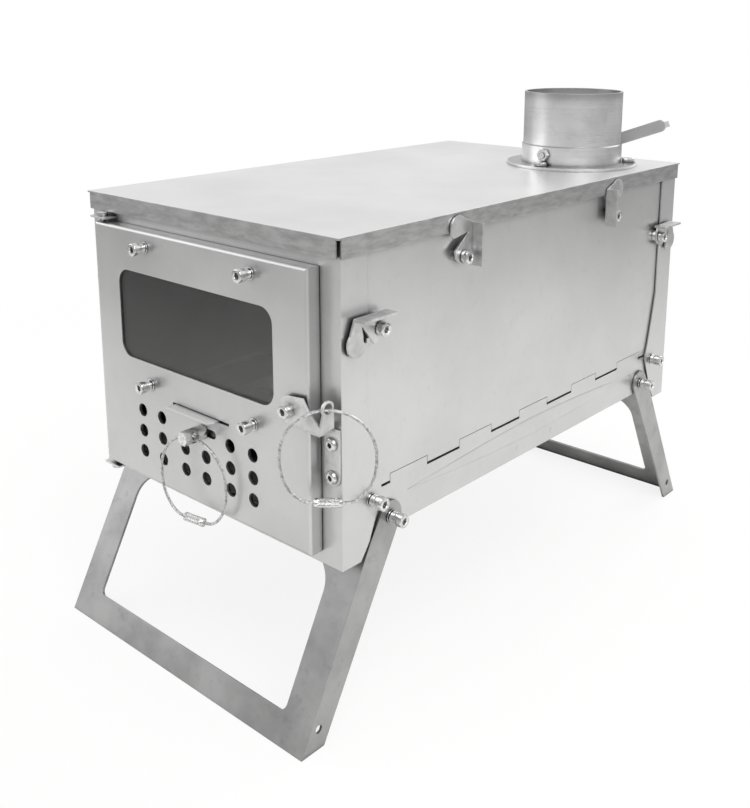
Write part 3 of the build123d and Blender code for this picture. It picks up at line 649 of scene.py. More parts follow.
@dataclass(frozen=True)
class PaleFloor:
    """A matt pale studio floor that fades into the white backdrop."""

    name: str = "pale_studio_floor"
    pale: str = "#F4F4F2"
    dark: str = "#F1F1EF"
    room: str = "#9C9C9C"
    grit_mm: float = 2.0
    near_mm: float = 300.0
    far_mm: float = 900.0
    glow: float = 0.84
    room_start_mm: float = 450.0
    room_end_mm: float = 1500.0
    roughness: float = 0.9
    sheen: float = 0.1

    def build(self) -> bpy.types.Material:
        """Make the material.

        Returns:
            The finished material.
        """
        material, tree, shader = new_material(self.name)
        grit = stretched_noise(tree, (self.grit_mm,) * 3, 3.0, 0.5)
        body = colour_ramp(tree, grit, [(0.2, self.dark), (0.8, self.pale)])
        shader.inputs["Roughness"].default_value = self.roughness
        shader.inputs["Specular IOR Level"].default_value = self.sheen
        coordinates = add_node(tree, "ShaderNodeTexCoord")
        length = {"operation": "LENGTH"}
        reach = add_node(
            tree, "ShaderNodeVectorMath", length, i0=coordinates.outputs["Object"]
        ).outputs["Value"]
        # Painted shade: away from the table the floor darkens, standing for a dimmer studio, which
        # the upright sheets reflect
        away = scaled(
            tree, reach, 0.0, 1.0, self.room_start_mm * MM, self.room_end_mm * MM, smooth=True
        )
        body = mixed(tree, away, body, linear(self.room))
        tree.links.new(body, shader.inputs["Base Color"])
        # The camera alone sees the floor glow, more so away from the shadow
        fade = scaled(
            tree, reach, self.glow, 1.0, self.near_mm * MM, self.far_mm * MM, smooth=True
        )
        path = add_node(tree, "ShaderNodeLightPath")
        seen = maths(tree, "MULTIPLY", path.outputs["Is Camera Ray"], fade)
        white = add_node(tree, "ShaderNodeEmission", Strength=1.0)
        show_instead(tree, seen, shader.outputs["BSDF"], white.outputs["Emission"])
        return material


@dataclass
class Finishes:
    """Every finish of the stove, built once."""

    sheet: bpy.types.Material = field(init=False)
    slider: bpy.types.Material = field(init=False)
    lid: bpy.types.Material = field(init=False)
    door: bpy.types.Material = field(init=False)
    leg: bpy.types.Material = field(init=False)
    small: bpy.types.Material = field(init=False)
    spun: bpy.types.Material = field(init=False)
    steel: bpy.types.Material = field(init=False)
    rope: bpy.types.Material = field(init=False)
    glass: bpy.types.Material = field(init=False)

    def __post_init__(self) -> None:
        """Build the materials."""
        # Painted shade darkens the inside faces of the sheets, for the dim firebox
        self.sheet = PickledTitanium(smoked="#7C7C7C").build()
        # The slider's inside faces take a deeper painted shade, so that the vent holes read dark
        self.slider = PickledTitanium(
            name="pickled_titanium_slider", smoked="#5E5E5E", inner_half_y=173.9,
        ).build()
        # Painted light: the lid's copy is paler, as its top faces up into the most light; its
        # upright faces and its inside take painted shade
        self.lid = PickledTitanium(
            name="pickled_titanium_lid", pale="#E6E6E6", dark="#DCDCDC", stain="#A2A2A2",
            mottle=0.05, skirt="#C0C0C0", smoked="#7C7C7C",
        ).build()
        # Painted shade: the door's copy is darker, as it faces forward under the lid's overhang
        self.door = PickledTitanium(
            name="pickled_titanium_door", pale="#CCCCCC", dark="#C0C0C0", grain_mm=(14.0, 0.9, 0.9),
            mottle=0.18,
        ).build()
        # Painted shade: the legs' copy is darker, as they stand low beneath the body; their coarser
        # mottle is their own
        self.leg = PickledTitanium(
            name="pickled_titanium_leg", pale="#AEAEAE", dark="#989898", stain="#7C7C7C",
            cloud_mm=26.0, grain_mm=(14.0, 0.9, 0.9), mottle=0.45,
        ).build()
        # The small fittings get a shorter and lighter painted shade where pieces stand close
        self.small = PickledTitanium(
            name="pickled_titanium_fittings", pale="#DADADA", dark="#B8B8B8", stain="#8A8A8A",
            contact_mm=2.5, contact="#767676",
            cloud_mm=9.0, grain_mm=(0.8, 5.0, 5.0), mottle=0.35, roughness_low=0.28,
        ).build()
        self.spun = SpunTitanium().build()
        self.steel = TurnedStainless().build()
        self.rope = BraidedStainless().build()
        self.glass = HeatGlass().build()


@dataclass
class FrameDresser:
    """Gives the carried-over sheets their finishes."""

    nodes: dict[str, bpy.types.Object]
    finishes: Finishes
    fitting_words: tuple[str, ...] = ("catch_front", "catch_rear", "latch", "keeper")
    steel_words: tuple[str, ...] = (
        "screw", "nut", "bolt", "pin", "rod", "spindle", "spacer", "barrel", "knob",
    )

    def finish_of(self, name: str) -> bpy.types.Material:
        """The finish that a node of the frame gets.

        Args:
            name: the node's name.

        Returns:
            Its material.
        """
        look = self.finishes
        exact = {
            "lid_plate": look.lid,
            "flue_collar": look.spun,
            "slider_plate": look.slider,
            "slider_guide": look.slider,
            "door_panel": look.door,
            "window_glass": look.glass,
            "front_leg": look.leg,
            "rear_leg": look.leg,
        }
        if name in exact:
            return exact[name]
        if any(word in name for word in self.fitting_words):
            return look.small
        if any(word in name for word in self.steel_words):
            return look.steel
        return look.sheet

    def dress(self) -> None:
        """Put the finishes on every node."""
        for name, node in self.nodes.items():
            node.data.materials.clear()
            node.data.materials.append(self.finish_of(name))
            LOG.info("dressed %s with %s", name, node.data.materials[0].name)


def ring_radius(shape: RingShape, radius: float, angle: float) -> float:
    """The distance of a ring's edge from its axis at an angle.

    Args:
        shape: the ring's outline.
        radius: its radius, which is the inner one for a hexagon.
        angle: the angle round the axis.

    Returns:
        The distance.
    """
    if shape is RingShape.HEX:
        sector = math.pi / 3
        return radius / math.cos((angle + sector / 2) % sector - sector / 2)
    return radius


@dataclass(frozen=True)
class Ring:
    """One ring of a turned shell: radius and height in mm, and its outline."""

    radius: float
    height: float
    shape: RingShape = RingShape.ROUND


def add_shell(mesh: bmesh.types.BMesh, rings: list[Ring], segments: int = 24) -> None:
    """Add a closed turned shell along +Z.

    Args:
        mesh: the mesh that grows.
        rings: the rings from the first end, round the outside, to the last end. Both
            ends are closed.
        segments: corners of each ring.
    """
    rows = []
    for ring in rings:
        row = []
        for step in range(segments):
            angle = math.tau * step / segments
            reach = ring_radius(ring.shape, ring.radius, angle)
            if ring.shape is RingShape.KNURLED:
                reach *= 1.0 if step % 2 else 0.93
            place = (reach * math.cos(angle) * MM, reach * math.sin(angle) * MM, ring.height * MM)
            row.append(mesh.verts.new(place))
        rows.append(row)
    for low, high in zip(rows, rows[1:]):
        for step in range(segments):
            after = (step + 1) % segments
            mesh.faces.new((low[step], low[after], high[after], high[step]))
    mesh.faces.new(list(reversed(rows[0])))
    mesh.faces.new(rows[-1])


def finished_mesh(name: str, mesh: bmesh.types.BMesh, smooth_deg: float = 35.0) -> bpy.types.Mesh:
    """Turn a bmesh into a mesh with outward faces and crisp edges.

    Args:
        name: the mesh's name.
        mesh: the bmesh, which is freed.
        smooth_deg: edges sharper than this stay crisp.

    Returns:
        The mesh.
    """
    bmesh.ops.recalc_face_normals(mesh, faces=mesh.faces)
    data = bpy.data.meshes.new(name)
    mesh.to_mesh(data)
    mesh.free()
    data.polygons.foreach_set("use_smooth", [True] * len(data.polygons))
    data.set_sharp_from_angle(angle=math.radians(smooth_deg))
    return data


def linked(name: str, data: bpy.types.Mesh | bpy.types.Curve) -> bpy.types.Object:
    """Link a new object into the scene.

    Args:
        name: the object's name.
        data: its mesh or curve.

    Returns:
        The object.
    """
    piece = bpy.data.objects.new(name, data)
    bpy.context.scene.collection.objects.link(piece)
    return piece


@dataclass(frozen=True)
class CapScrew:
    """A hexagon-socket cap screw with its nut and washers, along +Z from its seat; the fastener
    field winds its spring.
    """

    back: float
    lift: float
    nut: bool = True
    head_radius: float = 3.5
    head_height: float = 4.0
    shank_radius: float = 2.0
    nut_inner_radius: float = 3.5
    nut_height: float = 3.0
    washer_radius: float = 3.6
    washer_height: float = 0.7
    socket_radius: float = 1.6
    socket_depth: float = 2.2
    edge: float = 0.45
    button: bool = False
    button_roundness: float = 2.4
    seat_chamfer: float = 0.15
    nut_chamfer: float = 0.4
    washer_chamfer: float = 0.12
    socket_mouth: float = 0.3
    socket_lead: float = 0.25
    head_floor: float = 0.4

    def mesh(self, name: str) -> bpy.types.Mesh:
        """Build the screw.

        Args:
            name: the mesh's name.

        Returns:
            The screw's mesh, with its seat at the origin.
        """
        shape = bmesh.new()
        if self.nut:
            hexagon = RingShape.HEX
            low, high = -self.back, self.nut_height - self.back
            add_shell(shape, [
                Ring(self.nut_inner_radius - 0.5, low),
                Ring(self.nut_inner_radius, low + self.nut_chamfer, hexagon),
                Ring(self.nut_inner_radius, high, hexagon),
            ])
        add_shell(shape, [Ring(self.shank_radius, -self.back), Ring(self.shank_radius, self.lift)])
        if self.lift > self.washer_height:
            for base in (0.0, self.lift - self.washer_height):
                self.add_washer(shape, base)
        top = self.lift + self.head_height
        crown = self.edge * (self.button_roundness if self.button else 1.0)
        depth = min(self.socket_depth, self.head_height - self.head_floor)
        add_shell(shape, [
            Ring(self.head_radius - self.seat_chamfer, self.lift),
            Ring(self.head_radius, self.lift + self.seat_chamfer),
            Ring(self.head_radius, top - crown),
            Ring(self.head_radius - 0.3 * crown, top - 0.3 * crown),
            Ring(self.head_radius - crown, top),
            Ring(self.socket_radius + self.socket_mouth, top),
            Ring(self.socket_radius, top - self.socket_lead, RingShape.HEX),
            Ring(self.socket_radius, top - depth, RingShape.HEX),
        ])
        return finished_mesh(name, shape)

    def add_washer(self, shape: bmesh.types.BMesh, base: float) -> None:
        """Add a plain washer.

        Args:
            shape: the mesh that grows.
            base: the washer's lower face.
        """
        radius, cut, top = self.washer_radius, self.washer_chamfer, base + self.washer_height
        add_shell(shape, [
            Ring(radius - cut, base),
            Ring(radius, base + cut),
            Ring(radius, top - cut),
            Ring(radius - cut, top),
        ])


def plain_copy(piece: bpy.types.Object) -> None:
    """Replace a piece's modifiers by their result.

    Args:
        piece: the object, whose modifiers are removed.
    """
    graph = bpy.context.evaluated_depsgraph_get()
    result = bpy.data.meshes.new_from_object(
        piece.evaluated_get(graph), preserve_all_data_layers=True, depsgraph=graph
    )
    piece.modifiers.clear()
    piece.data = result


@dataclass
class GeometryField:
    """A Geometry Nodes tree with named inputs, which ends in real geometry with its finish."""

    name: str
    kinds: dict[str, str]
    identifiers: dict[str, str] = field(default_factory=dict)
    tree: bpy.types.NodeTree | None = None

    def start(self) -> bpy.types.bpy_prop_collection:
        """Make the tree and its named inputs.

        Returns:
            The inputs, as the outputs of the group's input node.
        """
        self.tree = bpy.data.node_groups.new(self.name, "GeometryNodeTree")
        sockets = self.tree.interface
        kinds = {"Geometry": "NodeSocketGeometry", **self.kinds, "Finish": "NodeSocketMaterial"}
        for name, kind in kinds.items():
            given = sockets.new_socket(name, in_out="INPUT", socket_type=kind)
            self.identifiers[name] = given.identifier
        sockets.new_socket("Geometry", in_out="OUTPUT", socket_type="NodeSocketGeometry")
        return add_node(self.tree, "NodeGroupInput").outputs

    def close(self, geometry: bpy.types.NodeSocket, finish: bpy.types.NodeSocket) -> None:
        """End the tree: make instances real and give them their finish.

        Args:
            geometry: the tree's geometry.
            finish: the material input.
        """
        real = add_node(self.tree, "GeometryNodeRealizeInstances", Geometry=geometry)
        clad = add_node(
            self.tree, "GeometryNodeSetMaterial", Geometry=real.outputs["Geometry"],
            Material=finish,
        )
        add_node(self.tree, "NodeGroupOutput", Geometry=clad.outputs["Geometry"])

    def grow(self, piece: bpy.types.Object, values: dict[str, object]) -> None:
        """Run the tree on a piece and keep the result as a plain mesh.

        Args:
            piece: the object that carries the points or the line.
            values: the tree's inputs by name.
        """
        modifier = piece.modifiers.new(self.name, "NODES")
        modifier.node_group = self.tree
        for key, value in values.items():
            modifier[self.identifiers[key]] = value
        plain_copy(piece)


class FastenerField(GeometryField):
    """A field that sets one fitting at many places, each with its coil spring where it has one."""

    def __init__(self) -> None:
        """Build the tree."""
        super().__init__("fastener_field", {
            "Fitting": "NodeSocketObject",
            "Spring Radius": "NodeSocketFloat",
            "Spring Wire": "NodeSocketFloat",
            "Spring Turns": "NodeSocketFloat",
            "Spring Height": "NodeSocketFloat",
            "Spring Lift": "NodeSocketFloat",
            "With Spring": "NodeSocketBool",
            "Seed": "NodeSocketInt",
        })
        given = self.start()
        fitting = add_node(self.tree, "GeometryNodeObjectInfo", Object=given["Fitting"])
        joined = add_node(self.tree, "GeometryNodeJoinGeometry")
        self.tree.links.new(self.spring(given), joined.inputs["Geometry"])
        self.tree.links.new(fitting.outputs["Geometry"], joined.inputs["Geometry"])
        spread = add_node(
            self.tree, "GeometryNodeInstanceOnPoints", Points=given["Geometry"],
            Instance=joined.outputs["Geometry"], Rotation=self.facing(given),
        )
        self.close(spread.outputs["Instances"], given["Finish"])

    def spring(self, given: bpy.types.bpy_prop_collection) -> bpy.types.NodeSocket:
        """Wind the coil spring, where the fitting has one.

        Args:
            given: the tree's inputs.

        Returns:
            The spring's geometry.
        """
        coil = add_node(
            self.tree, "GeometryNodeCurveSpiral", Resolution=18, Rotations=given["Spring Turns"],
            Start_Radius=given["Spring Radius"], End_Radius=given["Spring Radius"],
            Height=given["Spring Height"],
        )
        wire = add_node(
            self.tree, "GeometryNodeCurvePrimitiveCircle", Resolution=8,
            Radius=given["Spring Wire"],
        )
        wound = add_node(
            self.tree, "GeometryNodeCurveToMesh", Curve=coil.outputs["Curve"],
            Profile_Curve=wire.outputs["Curve"], Fill_Caps=True,
        )
        lift = add_node(self.tree, "ShaderNodeCombineXYZ", Z=given["Spring Lift"])
        raised = add_node(
            self.tree, "GeometryNodeTransform", Geometry=wound.outputs["Mesh"],
            Translation=lift.outputs["Vector"],
        )
        chosen = add_node(
            self.tree, "GeometryNodeSwitch", {"input_type": "GEOMETRY"},
            **{"Switch": given["With Spring"], "True": raised.outputs["Geometry"]},
        )
        return chosen.outputs["Output"]

    def facing(self, given: bpy.types.bpy_prop_collection) -> bpy.types.NodeSocket:
        """Turn each fitting along its point's aim, with its own spin about it.

        Args:
            given: the tree's inputs.

        Returns:
            The rotation.
        """
        aim = add_node(
            self.tree, "GeometryNodeInputNamedAttribute", {"data_type": "FLOAT_VECTOR"}, Name="aim"
        )
        along = add_node(
            self.tree, "FunctionNodeAlignRotationToVector", {"axis": "Z"},
            Vector=aim.outputs["Attribute"],
        )
        # Inputs 2 and 3 of a random number are its least and its largest value
        spin = add_node(
            self.tree, "FunctionNodeRandomValue", {"data_type": "FLOAT"},
            i2=0.0, i3=math.radians(60.0), Seed=given["Seed"],
        )
        about = add_node(self.tree, "ShaderNodeCombineXYZ", Z=spin.outputs[1])
        twist = add_node(self.tree, "FunctionNodeEulerToRotation", Euler=about.outputs["Vector"])
        turned = add_node(
            self.tree, "FunctionNodeRotateRotation", {"rotation_space": "LOCAL"},
            Rotation=along.outputs["Rotation"], Rotate_By=twist.outputs["Rotation"],
        )
        return turned.outputs["Rotation"]


class RopeField(GeometryField):
    """A field that lays twisted strands along a line."""

    def __init__(self) -> None:
        """Build the tree."""
        super().__init__("rope_strands", {
            "Strands": "NodeSocketInt",
            "Lay Radius": "NodeSocketFloat",
            "Strand Radius": "NodeSocketFloat",
            "Lay Length": "NodeSocketFloat",
            "Step": "NodeSocketFloat",
        })
        given = self.start()
        line = add_node(self.tree, "GeometryNodeMeshToCurve", Mesh=given["Geometry"])
        even = add_node(
            self.tree, "GeometryNodeResampleCurve", {"mode": "LENGTH"},
            Curve=line.outputs["Curve"], Length=given["Step"],
        )
        copies = add_node(
            self.tree, "GeometryNodeDuplicateElements", {"domain": "SPLINE"},
            Geometry=even.outputs["Curve"], Amount=given["Strands"],
        )
        # The offset is read before the strands move, so that it follows the rope's own line
        kept = add_node(
            self.tree, "GeometryNodeCaptureAttribute", Geometry=copies.outputs["Geometry"]
        )
        kept.capture_items.new("VECTOR", "offset")
        offset = self.offset(given, copies.outputs["Duplicate Index"])
        self.tree.links.new(offset, kept.inputs["offset"])
        moved = add_node(
            self.tree, "GeometryNodeSetPosition", Geometry=kept.outputs["Geometry"],
            Offset=kept.outputs["offset"],
        )
        outline = add_node(
            self.tree, "GeometryNodeCurvePrimitiveCircle", Resolution=7,
            Radius=given["Strand Radius"],
        )
        strands = add_node(
            self.tree, "GeometryNodeCurveToMesh", Curve=moved.outputs["Geometry"],
            Profile_Curve=outline.outputs["Curve"], Fill_Caps=True,
        )
        self.close(strands.outputs["Mesh"], given["Finish"])

    def offset(
        self, given: bpy.types.bpy_prop_collection, strand: bpy.types.NodeSocket
    ) -> bpy.types.NodeSocket:
        """Work out how far each point of a strand lies from the rope's line.

        Args:
            given: the tree's inputs.
            strand: the strand's number.

        Returns:
            The offset.
        """
        along = add_node(self.tree, "GeometryNodeSplineParameter").outputs["Length"]
        share = maths(self.tree, "DIVIDE", strand, given["Strands"])
        laid = maths(self.tree, "DIVIDE", along, given["Lay Length"])
        turns = maths(self.tree, "ADD", share, laid)
        tangent = add_node(self.tree, "GeometryNodeInputTangent")
        normal = add_node(self.tree, "GeometryNodeInputNormal")
        turned = add_node(
            self.tree, "ShaderNodeVectorRotate", {"rotation_type": "AXIS_ANGLE"},
            Vector=normal.outputs["Normal"], Axis=tangent.outputs["Tangent"],
            Angle=maths(self.tree, "MULTIPLY", turns, math.tau),
        )
        reach = add_node(
            self.tree, "ShaderNodeVectorMath", {"operation": "SCALE"},
            i0=turned.outputs["Vector"], Scale=given["Lay Radius"],
        )
        return reach.outputs["Vector"]


def points_object(name: str, places: list[Point], aims: list[Point]) -> bpy.types.Object:
    """A mesh of loose points that know where they face.

    Args:
        name: the object's name.
        places: the points in mm.
        aims: the unit vector that each fitting's axis follows.

    Returns:
        The object.
    """
    data = bpy.data.meshes.new(name)
    data.from_pydata([tuple(v * MM for v in p) for p in places], [], [])
    attribute = data.attributes.new("aim", "FLOAT_VECTOR", "POINT")
    attribute.data.foreach_set("vector", [v for aim in aims for v in aim])
    return linked(name, data)


@dataclass(frozen=True)
class Spring:
    """A coil spring under a screw's head, sizes in mm."""

    radius: float
    wire: float
    turns: float
    height: float
    lift: float


@dataclass
class Fasteners:
    """The screws, bolts and nuts, each set dressed as one piece of its body."""

    finishes: Finishes
    panel_pivot: Point = (98.65, 145.0, 118.0)
    leg_pivot: Point = (99.45, 131.0, 104.0)
    pivot_lift: float = 5.0
    pivot_spring: Spring = Spring(radius=2.75, wire=0.55, turns=3.5, height=2.7, lift=1.15)
    catch_seat_x: float = 101.8
    catch_places: tuple[tuple[float, float], ...] = ((142.0, 206.0), (77.0, 229.7))
    nut_back_x: float = 93.35
    window_x: tuple[float, float] = (-39.0, 46.0)
    window_z: tuple[float, float] = (229.5, 152.0)
    window_lift: float = 4.5
    window_washer_radius: float = 3.3
    window_spring: Spring = Spring(radius=2.1, wire=0.45, turns=3.5, height=2.5, lift=1.0)
    door_front_y: float = -174.3
    door_nut_y: float = -169.3
    latch_place: Point = (75.0, -174.3, 168.0)
    latch_back: float = 4.0
    latch_lift: float = 3.5
    latch_washer: float = 1.6
    keeper_x: float = 93.1
    keeper_z: tuple[float, float] = (152.4, 135.6)
    keeper_seat_y: float = -166.8
    keeper_back: float = 5.0
    keeper_head: float = 2.0
    keeper_socket: float = 1.2
    bolt_centre: tuple[float, float] = (46.0, 116.0)
    bolt_radius: float = 37.8
    bolt_angles: tuple[float, ...] = (-90.0, 30.0, 150.0)
    bolt_seat_z: float = 255.2
    bolt_across: float = 3.5
    bolt_head: float = 2.8
    bolt_shank: float = 2.0
    bolt_shank_end: float = -6.0
    bolt_nut: float = 3.0
    lid_under_z: float = 252.2
    pattern: FastenerField = field(default_factory=FastenerField)

    def place(
        self,
        name: str,
        template: bpy.types.Mesh,
        places: list[Point],
        aims: list[Point],
        body: str,
        nodes: list[str],
        spring: Spring | None = None,
        seed: int = 3,
    ) -> None:
        """Set a fitting at its places and hand the result to a body.

        Args:
            name: the new piece's name.
            template: the fitting's mesh.
            places: its places in mm.
            aims: the axis at each place.
            body: the body it rides on.
            nodes: the nodes of the frame that it stands for.
            spring: the coil spring, if it has one.
            seed: the seed of the fittings' turn.
        """
        source = linked(name + "_template", template)
        piece = points_object(name, places, aims)
        values: dict[str, object] = {
            "Fitting": source,
            "Seed": seed,
            "Finish": self.finishes.steel,
            "With Spring": spring is not None,
        }
        if spring is not None:
            values.update({
                "Spring Radius": spring.radius * MM,
                "Spring Wire": spring.wire * MM,
                "Spring Turns": spring.turns,
                "Spring Height": spring.height * MM,
                "Spring Lift": spring.lift * MM,
            })
        self.pattern.grow(piece, values)
        bpy.data.objects.remove(source)
        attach(piece, body)
        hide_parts(*nodes)
        LOG.info("placed %s: %d fittings on %s", name, len(places), body)

    def pivots(self) -> None:
        """Make the screws that the end panels and the legs turn on."""
        for label, (x, y, z), node in (
            ("panel_pivots", self.panel_pivot, "panel_pivot_screws"),
            ("leg_pivots", self.leg_pivot, "leg_pivot_screws"),
        ):
            screw = CapScrew(back=x - self.nut_back_x, lift=self.pivot_lift)
            places = [(sx * x, sy * y, z) for sx in (1, -1) for sy in (1, -1)]
            aims = [(sx, 0.0, 0.0) for sx in (1, -1) for _ in (1, -1)]
            self.place(label, screw.mesh(label), places, aims, "firebox", [node],
                       self.pivot_spring)

    def catches(self) -> None:
        """Make the screws that the catches turn on."""
        screw = CapScrew(back=self.catch_seat_x - self.nut_back_x, lift=0.0)
        places = [
            (sx * self.catch_seat_x, sy * y, z)
            for sx in (1, -1)
            for sy in (1, -1)
            for y, z in self.catch_places
        ]
        aims = [(math.copysign(1.0, p[0]), 0.0, 0.0) for p in places]
        self.place("catch_pivots", screw.mesh("catch_pivots"), places, aims, "firebox",
                   ["catch_screws"])

    def window(self) -> None:
        """Make the screws round the window and the latch's pivot."""
        screw = CapScrew(back=self.door_nut_y - self.door_front_y, lift=self.window_lift,
                         nut=False, washer_radius=self.window_washer_radius)
        places = [(x, self.door_front_y, z) for x in self.window_x for z in self.window_z]
        self.place("window_fixings", screw.mesh("window_fixings"), places,
                   [FORWARD] * len(places), "door", ["window_screws"], self.window_spring)
        pivot = CapScrew(back=self.latch_back, lift=self.latch_lift,
                         washer_height=self.latch_washer)
        self.place("latch_pivot", pivot.mesh("latch_pivot"), [self.latch_place], [FORWARD],
                   "door", ["latch_pivot_screw"])

    def keeper(self) -> None:
        """Make the low button-head screws of the keeper."""
        screw = CapScrew(back=self.keeper_back, lift=0.0, head_height=self.keeper_head,
                         button=True, socket_radius=self.keeper_socket)
        places = [(self.keeper_x, self.keeper_seat_y, z) for z in self.keeper_z]
        self.place("keeper_fixings", screw.mesh("keeper_fixings"), places,
                   [FORWARD] * len(places), "firebox", ["keeper_screws"])

    def flue(self) -> None:
        """Make the hexagon bolts and nuts that hold the flue collar."""
        shape = bmesh.new()
        hexagon, across, head = RingShape.HEX, self.bolt_across, self.bolt_head
        # The heads stay low, because the damper's spindle turns right above the front one
        add_shell(shape, [
            Ring(across - 0.1, 0.0, hexagon),
            Ring(across, 0.2, hexagon),
            Ring(across, head - 0.6, hexagon),
            Ring(across - 0.2, head - 0.15),
            Ring(across - 0.6, head),
        ])
        add_shell(shape, [Ring(self.bolt_shank, self.bolt_shank_end), Ring(self.bolt_shank, 0.1)])
        below = self.lid_under_z - self.bolt_seat_z
        add_shell(shape, [
            Ring(across - 0.4, below - self.bolt_nut),
            Ring(across, below - self.bolt_nut + 0.4, hexagon),
            Ring(across, below, hexagon),
        ])
        places = []
        for angle in self.bolt_angles:
            turn = math.radians(angle)
            x = self.bolt_centre[0] + self.bolt_radius * math.cos(turn)
            y = self.bolt_centre[1] + self.bolt_radius * math.sin(turn)
            places.append((x, y, self.bolt_seat_z))
        self.place("flue_fixings", finished_mesh("flue_fixings", shape), places,
                   [UPWARD] * len(places), "lid", ["flue_bolts", "flue_nuts"])

    def build(self) -> None:
        """Make every set of fasteners."""
        self.pivots()
        self.catches()
        self.window()
        self.keeper()
        self.flue()


@dataclass
class WireLoop:
    """A wire rope grip: a drop-shaped loop through an eye, closed by a crimped barrel."""

    name: str
    eye: Point
    turn_deg: float
    finishes: Finishes
    barrel_length: float = 14.0
    barrel_radius: float = 2.3
    loop_radius: float = 23.5
    drop: float = 0.3
    foot: tuple[tuple[float, float], ...] = ((11.5, 0.0), (16.9, 3.9), (21.2, 10.3))
    free_angle: float = 78.0
    steps: int = 4
    rope_length: float = 136.0
    rope_diameter: float = 1.6
    strands: int = 6
    lay_length: float = 9.0
    strand_step: float = 0.5
    knurl_rows: int = 12
    plain_end: float = 1.8
    chamfer: float = 0.5
    path: list[Point] = field(init=False, default_factory=list)

    def route(self) -> list[Vector]:
        """The control points of the rope, from one end of the barrel to the other.

        Returns:
            The points in metres.
        """
        free = 180.0 - self.free_angle
        rising = [self.free_angle + free * step / self.steps for step in range(self.steps + 1)]
        radius = self.loop_radius
        arch = [
            (radius * math.sin(math.radians(a)), radius - radius * math.cos(math.radians(a)))
            for a in rising
        ]
        half = [(self.barrel_length / 2, 0.0), *self.foot, *arch]
        flat = half + [(-along, up) for along, up in reversed(half[:-1])]
        turn = math.radians(self.turn_deg)
        x, y, z = self.eye
        base = Vector((x, y, z - self.drop - 2 * radius))
        direction = Vector((math.cos(turn), math.sin(turn), 0.0))
        return [(base + direction * along + Vector((0, 0, up))) * MM for along, up in flat]

    def centreline(self) -> list[Vector]:
        """The rope's smooth line, read from its own spline.

        Returns:
            The points of the line in metres.
        """
        curve = bpy.data.curves.new(self.name + "_line", "CURVE")
        curve.dimensions = "3D"
        spline = curve.splines.new("NURBS")
        points = self.route()
        spline.points.add(len(points) - 1)
        for point, place in zip(spline.points, points):
            point.co = (*place, 1.0)
        spline.order_u = 3
        spline.use_endpoint_u = True
        spline.resolution_u = 12
        carrier = linked(self.name + "_line", curve)
        graph = bpy.context.evaluated_depsgraph_get()
        line = bpy.data.meshes.new_from_object(carrier.evaluated_get(graph))
        places = [vertex.co.copy() for vertex in line.vertices]
        bpy.data.objects.remove(carrier)
        return places

    def rope(self, strands_field: RopeField) -> bpy.types.Object:
        """Lay the strands along the line.

        Args:
            strands_field: the tree that lays them.

        Returns:
            The rope as one mesh.
        """
        self.path = [tuple(place) for place in self.centreline()]
        data = bpy.data.meshes.new(self.name + "_rope")
        data.from_pydata(self.path, [(i, i + 1) for i in range(len(self.path) - 1)], [])
        piece = linked(self.name + "_rope", data)
        strand = self.rope_diameter / 6
        strands_field.grow(piece, {
            "Strands": self.strands,
            "Lay Radius": (self.rope_diameter / 2 - strand) * MM,
            "Strand Radius": strand * MM,
            "Lay Length": self.lay_length * MM,
            "Step": self.strand_step * MM,
            "Finish": self.finishes.rope,
        })
        piece.data.polygons.foreach_set("use_smooth", [True] * len(piece.data.polygons))
        return piece

    def barrel(self) -> bpy.types.Object:
        """Make the knurled crimp barrel over the rope's two ends.

        Returns:
            The barrel.
        """
        shape = bmesh.new()
        half, radius = self.barrel_length / 2, self.barrel_radius
        cut, plain = self.chamfer, self.plain_end
        band_end = half - plain + 0.4
        rings = [Ring(radius - cut, -half), Ring(radius, cut - half), Ring(radius, -band_end)]
        span = self.barrel_length - 2 * plain
        for row in range(self.knurl_rows + 1):
            height = plain - half + span * row / self.knurl_rows
            rings.append(Ring(radius, height, RingShape.KNURLED))
        rings += [Ring(radius, band_end), Ring(radius, half - cut), Ring(radius - cut, half)]
        add_shell(shape, rings, 40)
        aim = Euler((0.0, math.pi / 2, math.radians(self.turn_deg)), "XYZ").to_matrix()
        x, y, z = self.eye
        centre = Vector((x, y, z - self.drop - 2 * self.loop_radius)) * MM
        bmesh.ops.transform(
            shape, matrix=Matrix.Translation(centre) @ aim.to_4x4(), verts=shape.verts
        )
        return linked(self.name + "_crimp", finished_mesh(self.name + "_crimp", shape, 20.0))

    def build(self, strands_field: RopeField) -> None:
        """Args:
            strands_field: the tree that lays the strands.
        """
        rope = self.rope(strands_field)
        barrel = self.barrel()
        barrel.data.materials.append(self.finishes.steel)
        for piece, node, slot in (
            (rope, "_wire", "wire_rope"),
            (barrel, "_barrel", "stainless_steel"),
        ):
            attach(piece, self.name)
            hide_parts(self.name + node)
        LOG.info("built wire loop %s", self.name)


